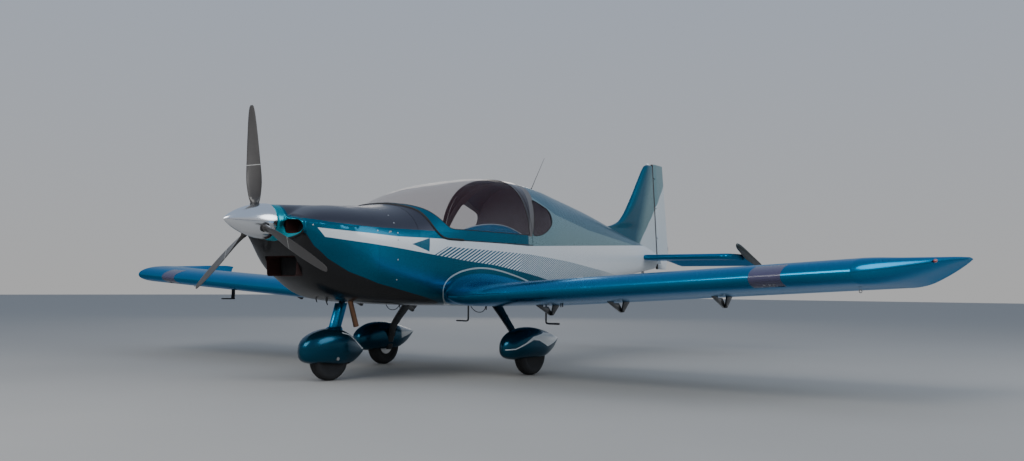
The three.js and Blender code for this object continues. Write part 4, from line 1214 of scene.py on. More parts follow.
class Livery:
    """Paint of the fuselage and cowling, drawn in the side view.

    Teal body, graphite deck, black belly, white side stripe with a slanted hatch, pale rear side.
    """

    GRAPHITE_EDGE: Line = ((-2015, 1214), (-1985, 1212), (-1804, 1191), (-1464, 1172), (-812, 1171))
    STRIPE_TOP: Line = ((-2044, 1153), (-1915, 1146), (-1236, 1109), (-806, 1112), (405, 1099),
                                  (998, 1125), (1977, 1169), (3058, 1217), (3640, 1240))
    STRIPE_LOW: Line = ((-1992, 1089), (-1857, 1081), (-1243, 1023), (-852, 981), (-490, 945),
                                  (-75, 914), (272, 869), (563, 830), (1100, 745), (1700, 640))
    CREASE: Line = ((-2015, 1135), (-2001, 1116), (-1922, 1014), (-1805, 925), (-1640, 835),
                              (-1399, 752), (-1103, 688), (-668, 600), (-600, 560))
    HATCH_TOP: Line = ((-702, 1051), (-164, 1040), (430, 1024), (1222, 978), (2208, 897), (2700, 850))
    CHINE: Line = ((430, 1640), (613, 1583), (978, 1425), (1728, 1316), (3051, 1211), (3640, 1150))
    BAND: Table = ((1190, 405, 66), (1550, 544, 93))
    SLANT, COARSE, FINE = 2.0, 54, 37
    ARROW: Flat = (-1093, 1057)
    SEAMS: Sequence[float] = (-1222, 905, 1322, 2000, 2700, 3180)
    ROWS: Sequence[float] = (935, 1290, 1354, 1968, 2032, 2668, 2732, 3150)

    def __init__(self, name: str, deck: bool = True) -> None:
        """Names the finish and says whether it has the graphite deck."""
        self.name = name
        self.deck = deck

    def make(self) -> Material:
        """Builds the material.

        Returns:
            The material.
        """
        paint = Surface(self.name)
        y, z = paint.y, paint.z
        flake, teal = Paints.teal(paint)
        top, low = paint.line(self.STRIPE_TOP), paint.line(self.STRIPE_LOW)
        deck = z.beyond(paint.line(self.GRAPHITE_EDGE), 2) * (y * -1.0).beyond(560, 4) * y.beyond(-1994, 3)
        belly = z.beyond(paint.line(self.CREASE), 5).flipped() * (y * -1.0).beyond(600, 20)
        collar = y.beyond(-2013, 2).flipped()
        front = (y * 0.746 + z * 0.666).beyond(-665.4, 2)
        white = z.beyond(low, 2) * z.beyond(top, 2).flipped() * front
        hatch_room = z.beyond(paint.line(self.HATCH_TOP), 2).flipped() * (y - z * 2.14).beyond(-2951, 3)
        coarse = (y - z * self.SLANT).wave(self.COARSE).beyond(y * -0.004 + 13.0, 2).flipped()
        fine = (y - z * self.SLANT).wave(self.FINE).beyond(9.5, 2.5).flipped() * y.beyond(2300, 700).flipped()
        behind = y.beyond(280, 60)
        slashes = (coarse * behind.flipped() + fine * behind) * hatch_room
        point, level = self.ARROW
        tip = (z - level).size().beyond((y - point) * 0.29, 2).flipped() * y.beyond(point, 2)
        triangle = tip * (y * -1.0 + (z - level) * 0.1).beyond(905, 2)
        rear = y.beyond(405, 3)
        pale = rear * z.beyond(paint.line(self.CHINE), 6).flipped() * z.beyond(top, 2)
        (low_z, low_y, low_width), (high_z, high_y, high_width) = self.BAND
        rise = (z - low_z) / (high_z - low_z)
        lean = rise * (high_y - low_y) + low_y
        width = rise * (high_width - low_width) + low_width
        arch = z.beyond(1186, 3) * y.beyond(404, 3)
        # Between the canopy's rear edge and the leaning band the hull is painted near-black and glossy like the glass:
        # partly its smoked tint, partly painted shade of the cabin behind.
        painted_glass_shade = arch * (y - lean).beyond(0, 2).flipped()
        band = arch * (y - lean).beyond(0, 2) * (y - lean - width).beyond(0, 2).flipped()
        # Above the chine on the rear body the teal is lightened a little towards pale: a painted highlight.
        spine_sheen = z.beyond(paint.line(self.CHINE), 6) * y.beyond(560, 120) * 0.3
        colour = paint.mix(teal, Tint.PALE, pale + spine_sheen)
        colour = paint.mix(colour, Tint.WHITE, white)
        colour = paint.mix(colour, teal, (white * slashes + triangle * white).least(1.0))
        if self.deck:
            colour = paint.mix(colour, Tint.GRAPHITE, deck)
        colour = paint.mix(colour, Tint.BELLY, belly)
        colour = paint.mix(colour, Tint.SMOKED, painted_glass_shade)
        colour = paint.mix(colour, Tint.BOW, band)
        colour = paint.mix(colour, Tint.COLLAR, collar)
        paint.feed("Base Color", colour)
        flat = (white + belly + painted_glass_shade + band).least(1.0)
        paint.feed("Metallic", flat * -0.7 + 0.8)
        paint.feed("Roughness", flake * 0.08 + deck * 0.06 + band * 0.15 - painted_glass_shade * 0.2 + 0.24)
        paint.set(Coat_Weight=0.15, Coat_Roughness=0.05, Specular_IOR_Level=0.35)
        seams = paint.grooves(y, self.SEAMS, 2.2)
        rows = paint.rivets(y, self.ROWS, z, 34)
        return paint.bump(paint.noise(14, 1) * 0.08 + seams * -0.8 + rows * 0.5, 0.8).material


class FinPaint:
    """Paint of the fin and rudder: teal ahead, a slanted hatch, pale grey behind and above."""

    def __init__(self, name: str, rudder: bool) -> None:
        """Names the finish and says whether it is the rudder's."""
        self.name = name
        self.rudder = rudder

    def make(self) -> Material:
        """Builds the material.

        Returns:
            The material.
        """
        paint = Surface(self.name)
        y, z = paint.y, paint.z
        flake, teal = Paints.teal(paint)
        fade = (y - z * 0.33).beyond(2833, 170)
        colour = paint.mix(teal, Tint.PALE, fade)
        zone = (y * 1.185 - z).beyond(2648, 5)
        lines = (y * 0.9 - z).wave(40).beyond(6, 2)
        colour = paint.mix(colour, Tint.WHITE, zone * (lines * 0.75 + 0.25))
        if self.rudder:
            colour = paint.mix(colour, Tint.WHITE, z.beyond(1130, 8).flipped())
        hinge = y + z * POST_LEAN
        # A dark band is painted along the hinge line, over the fin's rear and the rudder's nose.
        colour = paint.mix(colour, Tint.SMOKED, hinge.beyond(3803, 2) * hinge.beyond(3845, 2).flipped())
        paint.feed("Base Color", colour)
        paint.feed("Metallic", zone * -0.5 + (0.5 if self.rudder else 0.75))
        paint.feed("Roughness", flake * 0.08 + 0.25)
        paint.set(Coat_Weight=0.3, Coat_Roughness=0.05)
        height = paint.noise(14, 1) * 0.08
        if not self.rudder:
            height = height + paint.rivets(hinge, (3820,), z, 34) * 0.5
        return paint.bump(height, 0.8).material


@dataclass(frozen=True)
class TintedGlass:
    """Smoked acrylic: thin, slightly pink, with a sharp reflection."""

    name: str
    colour: Colour = (0.105, 0.045, 0.060)
    cover: float = 0.13

    def make(self) -> Material:
        """Builds the material.

        Returns:
            The material.
        """
        glass = Surface(self.name)
        glass.set(Base_Color=self.colour, Alpha=self.cover, Specular_IOR_Level=0.5)
        glass.feed("Roughness", glass.noise(260, 2) * 0.04 + 0.02)
        return glass.bump(glass.noise(180, 1), 0.1, 0.2).material


@dataclass(frozen=True)
class Fins:
    """Black metal with upright cooling fins, painted darker in the grooves between them as painted shade."""

    name: str
    pitch: float

    def make(self) -> Material:
        """Builds the material.

        Returns:
            The material.
        """
        metal = Surface(self.name)
        fin = metal.x.wave(self.pitch) / (self.pitch / 2)
        # Darker in the grooves between the fins, lighter on their crests: painted shade.
        metal.feed("Base Color", metal.mix((0.008, 0.008, 0.008), (0.05, 0.05, 0.052), fin))
        metal.feed("Roughness", metal.noise(12, 2) * 0.3 + 0.4)
        metal.set(Metallic=0.7)
        return metal.bump(fin, 2.0).material


class Palette:
    """Every finish of the aircraft, made once."""

    def __init__(self) -> None:
        """Builds the materials."""
        self.livery = Livery("fuselage_livery").make()
        self.canopy = Livery("canopy_livery", deck=False).make()
        self.fin = FinPaint("fin_paint", rudder=False).make()
        self.rudder = FinPaint("rudder_paint", rudder=True).make()
        self.teal = MetallicPaint("teal_paint").make()
        self.wing = MetallicPaint("wing_paint", (1180, 1900, 2743, 3260), (830, 1150, 1210, 1530, 1870, 1930, 2300,
                                  2710, 3000, 3230, 3290, 3740), (-560, -210, 205)).make()
        self.tail = MetallicPaint("tail_paint", (560,), (60, 300, 530, 590, 820, 1030), (3275, 3630, 3760)).make()
        self.chrome = Plain("polished_spinner", (0.80, 0.81, 0.83), 0.17, 1.0, 30, 0.01, 0.03).make()
        self.blade = Plain("blade_composite", (0.040, 0.036, 0.034), 0.42, 0.0, 3, 0.03, 0.2, 0.3).make()
        self.blade_mark = Plain("blade_band_paint", (0.42, 0.42, 0.40), 0.4, 0.0, 3, 0.03, 0.1).make()
        self.glass = TintedGlass("smoked_acrylic").make()
        self.clear = TintedGlass("clear_lens", (0.085, 0.080, 0.155), 0.8).make()
        self.black = Plain("black_plastic", (0.016, 0.016, 0.018), 0.5, 0.0, 1.2, 0.06, 0.3).make()
        self.seal = Plain("rubber_seal", (0.014, 0.012, 0.011), 0.7, 0.0, 2, 0.05, 0.3).make()
        self.leg = Plain("black_leg_paint", (0.016, 0.016, 0.018), 0.3, 0.0, 2, 0.02, 0.2, 0.6).make()
        self.tyre = Plain("tyre_rubber", (0.020, 0.020, 0.021), 0.8, 0.0, 1.5, 0.15, 0.35).make()
        self.alloy = Plain("wheel_alloy", (0.62, 0.63, 0.64), 0.35, 1.0, 2, 0.04, 0.12).make()
        self.steel = Plain("machined_steel", (0.5, 0.5, 0.5), 0.32, 1.0, 3, 0.02, 0.15).make()
        self.engine = Plain("engine_casting", (0.33, 0.33, 0.34), 0.5, 0.9, 2, 0.3, 0.2).make()
        self.duct = Plain("duct_lining", (0.045, 0.012, 0.009), 0.6, 0.0, 3, 0.1, 0.4).make()
        self.exhaust = Plain("heat_stained_steel", (0.26, 0.14, 0.085), 0.45, 0.9, 6, 0.1, 0.5).make()
        self.leather = Plain("seat_leather", (0.20, 0.185, 0.18), 0.55, 0.0, 1.2, 0.25, 0.2).make()
        self.belt = Plain("belt_webbing", (0.05, 0.052, 0.058), 0.8, 0.0, 0.9, 0.3, 0.3).make()
        self.screen = Plain("dark_screen", (0.012, 0.014, 0.018), 0.12, 0.0, 6, 0.01, 0.1, 1.0).make()
        self.pale = Plain("pale_paint", (0.42, 0.50, 0.52), 0.3, 0.2, 8, 0.02, 0.05, 0.8).make()
        self.lamp = Plain("lamp_lens", (0.80, 0.81, 0.83), 0.08, 0.0, 4, 0.1, 0.03, 1.0).make()
        self.red = Plain("red_lens", (0.35, 0.012, 0.01), 0.1, 0.0, 4, 0.1, 0.1, 1.0).make()
        self.green = Plain("green_lens", (0.01, 0.22, 0.06), 0.1, 0.0, 4, 0.1, 0.1, 1.0).make()
        # The elevator's horns get a dark grey-teal, darker than the tail's teal.
        self.horn = Plain("horn_paint", (0.022, 0.034, 0.036), 0.3, 0.3, 3, 0.02, 0.2, 0.3).make()
        self.walkway = Plain("walkway_grip", (0.022, 0.022, 0.024), 0.9, 0.0, 1.0, 0.6, 0.4).make()
        self.cabin = Plain("cabin_trim", (0.100, 0.104, 0.125), 0.75, 0.0, 1.5, 0.15, 0.25).make()
        self.radiator = Fins("radiator_fins", 6.0).make()


# Sub-assemblies


@dataclass
class Assembly:
    """What every sub-assembly shares: the finishes, its side if it is there twice, and the way it makes a piece."""

    palette: Palette
    side: Side | None = field(default=None, kw_only=True)

    def put(self, name: str, looks: Sequence[Material], slot: str, shape: Shape, node: str = "",
            body: str = "airframe", **how: Any) -> Thing:
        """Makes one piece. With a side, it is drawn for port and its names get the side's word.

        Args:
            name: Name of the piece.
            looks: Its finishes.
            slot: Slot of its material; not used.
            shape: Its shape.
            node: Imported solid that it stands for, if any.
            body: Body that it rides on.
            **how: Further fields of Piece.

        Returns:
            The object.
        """
        if self.side:
            name, node = f"{name}_{self.side.word}", node and f"{node}_{self.side.word}"
            shape = shape.on(self.side)
        return Piece(name, looks, body, slot, [node] if node else (), **how).make(shape)


@dataclass
class Cowling(Assembly):
    """Engine cowling: upper half, lower half with chin, the spinner's collar, nostrils and scoop."""

    split: float = 1172.0
    lip: float = 20.0
    fillet: float = 12.0
    across: int = 44
    collar: Line = ((-2080, 70), (-2080, 96), (-2080, 117), (-2078.6, 121.5), (-2075, 124.4))
    nostril: Line = ((130, 1196), (150, 1206), (210, 1207), (266, 1203), (300, 1189), (319, 1164),
                               (321, 1141), (304, 1119), (262, 1106), (200, 1103), (150, 1107), (130, 1120))
    scoop: tuple[float, float, float, float] = (175.0, 162.0, 797.0, 945.0)
    scoop_rear: float = -1812.0
    cut_front: float = -2060.0
    corner: float = 22.0

    def front_rows(self, upper: bool) -> np.ndarray:
        """Rows from the shaft opening over the collar and the front face to the rounded lip.

        Args:
            upper: Whether the rows are those above the split line.

        Returns:
            Rows of points on the port side.
        """
        edge = lambda _: self.split
        band = (None, edge) if upper else (edge, None)
        flush, deep = (BODY.strip([BODY.FRONT], *band, self.across, inset)[0][:, [0, 2]]
                       for inset in (0.0, self.lip))
        middle, radius = BODY.ridge(BODY.FRONT)
        away = flush - (0, middle)
        angle = np.arctan2(away[:, 0], away[:, 1])
        spoke = np.column_stack([np.sin(angle), np.cos(angle)])
        room = np.maximum(np.linalg.norm(away, axis=1) - radius, 0)
        lip = np.minimum(self.lip, room * 0.45)
        fillet = np.minimum(self.fillet, room * 0.3)
        rows = []

        def row(flat: np.ndarray, station: np.ndarray | float) -> None:
            """Adds one row of points (x, z) at a station, or at one for each point."""
            rows.append(np.column_stack([flat[:, 0], np.broadcast_to(station, self.across), flat[:, 1]]))

        for station, reach in self.collar:
            row(spoke * reach + (0, BODY.ridge(station)[0]), station)
        start = self.collar[-1][0]
        for part in (0.25, 0.5, 0.75):
            station = start + (BODY.FRONT - start) * part
            level, reach = BODY.ridge(station)
            row(spoke * reach + (0, level), np.minimum(station, BODY.FRONT - fillet))
        for turn in np.linspace(0, math.pi / 2, 4):
            reach = radius + fillet * (1 - math.cos(turn))
            row(spoke * reach[:, None] + (0, middle), BODY.FRONT - fillet * (1 - math.sin(turn)))
        near = spoke * (radius + fillet)[:, None] + (0, middle)
        share = (lip / self.lip)[:, None]
        far = flush + (deep - flush) * share
        for part in (0.25, 0.5, 0.75):
            row(near + (far - near) * part, BODY.FRONT)
        for turn in np.linspace(0, math.pi / 2, 6):
            station = BODY.FRONT + lip * (1 - math.cos(turn))
            row(flush + (deep - flush) * share * (1 - math.sin(turn)), station)
        return np.array(rows)

    def nostril_outline(self, shrink: float = 0.0) -> np.ndarray:
        """Outline of the port cooling inlet in the front view, drawn in by a distance.

        Args:
            shrink: Distance that it is drawn in.

        Returns:
            Points (x, z).
        """
        line = smooth_line(self.nostril, 56, closed=True)
        away = line - line.mean(axis=0)
        return line - away / np.linalg.norm(away, axis=1)[:, None] * shrink

    def scoop_outline(self, grow: float = 0.0) -> list[Flat]:
        """Outline of the radiator scoop in the front view, grown by a distance.

        Args:
            grow: Distance that it is grown.

        Returns:
            Points (x, z).
        """
        top, low, floor, roof = self.scoop
        corners = [(-low - grow, floor - grow), (low + grow, floor - grow), (top + grow, roof + grow),
                   (-top - grow, roof + grow)]
        outline = []
        for number, (x, z) in enumerate(corners):
            px, pz = corners[number - 1]
            nx, nz = corners[(number + 1) % 4]
            for part in np.linspace(0, 1, 6):
                middle = Vector((x, z))
                a = middle.lerp(Vector((px, pz)), self.corner / math.hypot(px - x, pz - z))
                b = middle.lerp(Vector((nx, nz)), self.corner / math.hypot(nx - x, nz - z))
                outline.append(tuple(a.lerp(middle, part).lerp(middle.lerp(b, part), part)))
        return outline

    def cutters(self) -> list[Shape]:
        """Bodies that cut the inlets."""
        tools = [Shape().prism(self.nostril_outline() * (side.value, 1), self.cut_front, -1900, Axis.Y)
                 for side in Side]
        return tools + [Shape().prism(self.scoop_outline(), self.cut_front, -1815, Axis.Y)]

    def build(self) -> None:
        """Makes both halves, the ducts and the fasteners."""
        edge = lambda _: self.split
        places = steps(BODY.FRONT + self.lip + 6, BODY.FIREWALL - 1, 20)
        for upper in (True, False):
            band = (None, edge) if upper else (edge, None)
            rows = np.concatenate([self.front_rows(upper), BODY.strip(places, *band, self.across)])
            half = Shape().grid(rows)
            name = "upper_cowl" if upper else "lower_cowl"
            self.put(name, [self.palette.livery], "graphite_composite" if upper else "teal_composite",
                     half.join(half.mirrored()), "cowl_upper" if upper else "cowl_lower", wall=5, sharp=40,
                     cutters=self.cutters(), outward=(0, -1600, 1150), folded=True)
        self.ducts()
        self.fasteners()

    def ducts(self) -> None:
        """Makes the linings behind the nostrils and the scoop."""
        for side in Side:
            rings = [np.insert(self.nostril_outline(shrink), 1, BODY.FRONT + depth, axis=1)
                     for depth, shrink in ((7, -1.0), (14, -1.0), (40, 3.0), (75, 9.0), (112, 16.0))]
            shape = Shape().grid(rings, around=True)
            back = Shape().prism(self.nostril_outline(15), BODY.FRONT + 112, BODY.FRONT + 118, Axis.Y, 1)
            self.put(f"nostril_duct_{side.word}", [self.palette.duct, self.palette.black], "black_plastic",
                     shape.join(back).on(side), wall=1.5)
        rings = [np.insert(np.array(self.scoop_outline(grow)), 1, station, axis=1)
                 for station, grow in ((-1935, 1.0), (-1890, 1.0), (-1850, -2.0), (self.scoop_rear, -6.0))]
        self.put("scoop_duct", [self.palette.duct], "black_plastic", Shape().grid(rings, around=True), wall=2)

    def fasteners(self) -> None:
        """Makes the fasteners along the split line and the rear edge."""
        heads = Shape()
        for station, height in ((-1949, 1165), (-1775, 1162), (-1602, 1152), (-1423, 1146), (-1230, 1138),
                                (-1235, 1083), (-1235, 931), (-1235, 778), (-1235, 1215),
                                (-1235, 1275), (-1235, 1325)):
            heads.join(BODY.stud(station, height, 6.5, 2.2))
        self.put("cowl_fasteners", [self.palette.steel], "steel", heads.join(heads.mirrored()))


@dataclass
class Cabin(Assembly):
    """Cabin part of the fuselage: hull, canopy frame, glazing, seals and the canopy's arms."""

    rail: float = 1112.0
    sill: float = 1198.0
    rear: float = 470.0
    bow: float = 40.0
    corner: float = -560.0
    glass_corner: float = -610.0
    arch_foot: float = 1150.0
    gap: float = 8.0
    edge: Line = ((-1014, 1460), (-1000, 1396), (-965, 1378), (-928, 1358), (-898, 1328), (-874, 1279),
                            (-846, 1218), (-808, 1166), (-755, 1128), (-690, 1114), (-560, 1112))
    glass_edge: Line = ((-990, 1475), (-958, 1404), (-905, 1384), (-838, 1353), (-779, 1309), (-708, 1246),
                                  (-655, 1208), (-610, 1198))
    window: Line = ((494, 1203), (610, 1205), (712, 1233), (800, 1276), (862, 1322), (884, 1368),
                              (878, 1420), (846, 1460), (770, 1490), (672, 1522), (618, 1532), (588, 1470),
                              (550, 1370), (512, 1270))
    arch: Line = ((-560, 1186), (-502, 1200), (-303, 1244), (-99, 1266), (106, 1256), (293, 1206),
                            (340, 1186))
    arm: Line = ((-1300, 1130), (-1080, 960), (-820, 872), (-745, 960), (-655, 1206))
    arm_place: float = 395.0

    def edge_height(self, line: Line, level: float, grow: float = 0.0) -> Callable[[float], float]:
        """Height of a front edge as a function of the station, level behind its last point.

        Args:
            line: Corners of the edge.
            level: Height behind them.
            grow: How far the edge is moved out.

        Returns:
            The function.
        """
        moved = np.array([(y - grow * 0.55, z - grow * 0.85) for y, z in line])
        curve = smooth_line(moved, 60)
        return lambda y: float(np.interp(y, curve[:, 0], curve[:, 1])) if y < curve[-1, 0] else level - grow

    def apex(self, line: Line, grow: float = 0.0) -> float:
        """Station where a front edge meets the crown.

        Args:
            line: Corners of the edge.
            grow: How far the edge is moved out.

        Returns:
            The station.
        """
        height = self.edge_height(line, 0.0, grow)
        low, high = line[0][0] - 30.0, -800.0
        for _ in range(40):
            middle = (low + high) / 2
            crown = BODY.values([middle])[0][0]
            low, high = (middle, high) if height(middle) > crown else (low, middle)
        return (low + high) / 2

    def hull_shape(self) -> Shape:
        """Skin of the hull with its opening for the canopy.

        Returns:
            Its port half.
        """
        start = self.apex(self.edge, self.gap)
        height = self.edge_height(self.edge, self.rail, self.gap)
        rear = self.rear + self.gap
        fore = list(steps(BODY.FIREWALL, start - 1, 26))
        curve = [start + (self.corner - start) * part ** 1.6 for part in np.linspace(0, 1, 28)]
        along = list(steps(self.corner, rear, 40))[1:]
        behind = list(steps(rear, BODY.CABIN_END - 0.4, 26))[1:]
        upper = lambda y: 9999.0 if y <= start else height(y)
        shape = Shape().grid(BODY.strip(fore + curve + along + behind, upper, None, 44))
        return shape.grid(BODY.strip([rear] + behind, None, lambda _: self.rail - self.gap, 30))

    def build(self) -> None:
        """Makes the hull, the canopy and the windows."""
        half = self.hull_shape()
        hole = smooth_line(self.window, 64, closed=True)
        cutter = Shape().prism(hole, -700, 700)
        leg_hole = Shape().tube([(0, -1326, 500), (0, -1326, 700)], 45, 40)
        self.put("cabin_shell", [self.palette.livery, self.palette.cabin], "teal_paint", half.join(half.mirrored()),
                 "cabin_hull", wall=5, cutters=[cutter, leg_hole], outward=(0, -300, 1000))
        self.panes(hole)
        self.canopy()
        self.arms()

    def panes(self, hole: np.ndarray) -> None:
        """Makes the rear side windows and their seals.

        Args:
            hole: Outline of the opening in the side view.
        """
        middle = hole.mean(axis=0)
        for side in Side:
            rings = []
            for part in (0.02, 0.25, 0.5, 0.75, 1.02):
                ring = middle + (hole - middle) * part
                rings.append([(BODY.half_width(y, z) - 1.5, y, z) for y, z in ring])
            self.put(f"rear_pane_{side.word}", [self.palette.glass], "tinted_glazing",
                     Shape().grid(rings, around=True).on(side), f"rear_window_{side.word}", wall=4,
                     outward=(0, 650, 1000))
            bead = [(BODY.half_width(y, z) + 0.3, y, z) for y, z in hole]
            self.put(f"rear_pane_seal_{side.word}", [self.palette.seal], "black_plastic",
                     Shape().tube(bead, 3.2, 8, closed=True).on(side))

    def canopy(self) -> None:
        """Makes the canopy's frame, its glass, its seals and its sill trim."""
        glass_rear = self.rear - self.bow
        start = self.apex(self.glass_edge)
        height = self.edge_height(self.glass_edge, self.sill)
        places = [start + (self.glass_corner - start) * part ** 1.7 for part in np.linspace(0, 1, 30)]
        places += list(steps(self.glass_corner, glass_rear, 30))[1:]
        glass = both_sides(BODY.strip(places, None, height, 40))
        self.put("canopy_pane", [self.palette.glass], "tinted_glazing", Shape().grid(glass), "canopy_glass",
                 body="canopy", wall=5, outward=(0, -300, 1000))

        inner = self.track(start, height, glass_rear, self.sill)
        outer = self.track(self.apex(self.edge), self.edge_height(self.edge, self.rail), self.rear, self.rail)
        rows = []
        for part in np.linspace(0, 1, 7):
            line = inner + (outer - inner) * part
            rows.append([BODY.surface(y, p) for y, p in line])
        half = Shape().grid(rows)
        self.put("canopy_bow", [self.palette.canopy, self.palette.cabin], "teal_composite", half.join(half.mirrored()),
                 "canopy_frame", body="canopy", wall=6, outward=(0, -300, 1000))
        corner = len(inner) - 36
        self.bead("canopy_glass_seal", inner, 3.4)
        self.bead("canopy_front_seal", outer[corner - 2:], 11.0)
        sills, rims, top = Shape(), Shape(), smooth_line(self.arch, 40)
        for side in Side:
            rows = []
            for part in np.linspace(0, 1, 6):
                line = [(y, self.arch_foot + (z - self.arch_foot) * part) for y, z in top]
                rows.append([(BODY.half_width(y, z) - 9, y, z) for y, z in line])
            sills.join(Shape().grid(rows).on(side))
            rims.join(Shape().tube([(BODY.half_width(y, z) - 9, y, z) for y, z in top], 4, 10).on(side))
        self.put("canopy_sill_trim", [self.palette.teal], "teal_composite", sills, body="canopy", wall=3)
        self.put("canopy_sill_rims", [self.palette.pale], "teal_composite", rims, body="canopy")

    def bead(self, name: str, line: np.ndarray, radius: float) -> None:
        """Makes a rubber bead on the canopy along a track and its mirror image.

        Args:
            name: Name of the piece.
            line: Stations and parts of the way from crown to keel.
            radius: Radius of the bead.
        """
        path = np.array([BODY.surface(y, p, 0.3 * radius) for y, p in line])
        shape = Shape().tube(smooth_line(path, len(path) * 2), radius, 8)
        self.put(name, [self.palette.seal], "black_plastic", shape.join(shape.mirrored()), body="canopy")

    def arms(self) -> None:
        """Makes the goose-neck arms that carry the canopy, with their bearings in the hull."""
        line = smooth_line(self.arm, 40)
        pivot_y, pivot_z = self.arm[0]
        arms, bearings = Shape(), Shape()
        for side in Side:
            x = self.arm_place
            arm = Shape().tube([(x, y, z) for y, z in line], 12, 14)
            arm.turned([(-11, 12), (-11, 24), (11, 24), (11, 12)], (x, pivot_y, pivot_z), (1, 0, 0), 32)
            foot_y, foot_z = self.arm[-1]
            skin = BODY.half_width(foot_y, foot_z) - 4
            arm.block((x - 8, foot_y - 18, foot_z - 14), (skin, foot_y + 6, foot_z + 2))
            arms.join(arm.on(side))
            wall = BODY.half_width(pivot_y, pivot_z) - 3
            bearing = Shape().turned([(-14, 7.4), (16, 7.4), (16, 20), (wall - x, 20)], (x, pivot_y, pivot_z),
                                     (1, 0, 0), 32)
            bearings.join(bearing.on(side))
        self.put("canopy_arms", [self.palette.black], "black_plastic", arms, body="canopy", rounding=1.5)
        self.put("canopy_bearings", [self.palette.steel], "steel", bearings)

    def track(self, start: float, height: Callable[[float], float], rear: float, level: float) -> np.ndarray:
        """Outline of the canopy or its glass as stations and parts of the way round.

        Args:
            start: Station of its front end, on the crown.
            height: Height of its lower edge.
            rear: Station of its rear edge.
            level: Height of its straight lower edge.

        Returns:
            Points from the rear crown round to the front crown.
        """
        corner = self.corner if level == self.rail else self.glass_corner
        down = [(rear, BODY.part_at(rear, level) * t) for t in np.linspace(0, 1, 24)]
        along = [(y, BODY.part_at(y, level)) for y in np.linspace(rear, corner, 40)[1:]]
        up = []
        for t in np.linspace(0, 1, 36)[1:]:
            y = corner + (start - corner) * (1 - (1 - t) ** 1.6)
            up.append((y, 0.0 if t == 1 else BODY.part_at(y, height(y))))
        return np.array(down + along + up)


@dataclass
class RearBody(Assembly):
    """Rear fuselage."""

    def build(self) -> None:
        """Makes the tapering shell."""
        places = steps(BODY.CABIN_END, BODY.TAIL_END, 32)
        whole = both_sides(BODY.strip(places, None, None, 40))
        shape = Shape().grid(whole)
        end = whole[-1]
        shape.faces.append(tuple(len(shape.points) - len(end) + i for i in range(len(end) - 1)))
        shape.marks.append(0)
        self.put("tail_cone", [self.palette.livery], "pale_paint", shape, "rear_fuselage", outward=(0, 2000, 1050))


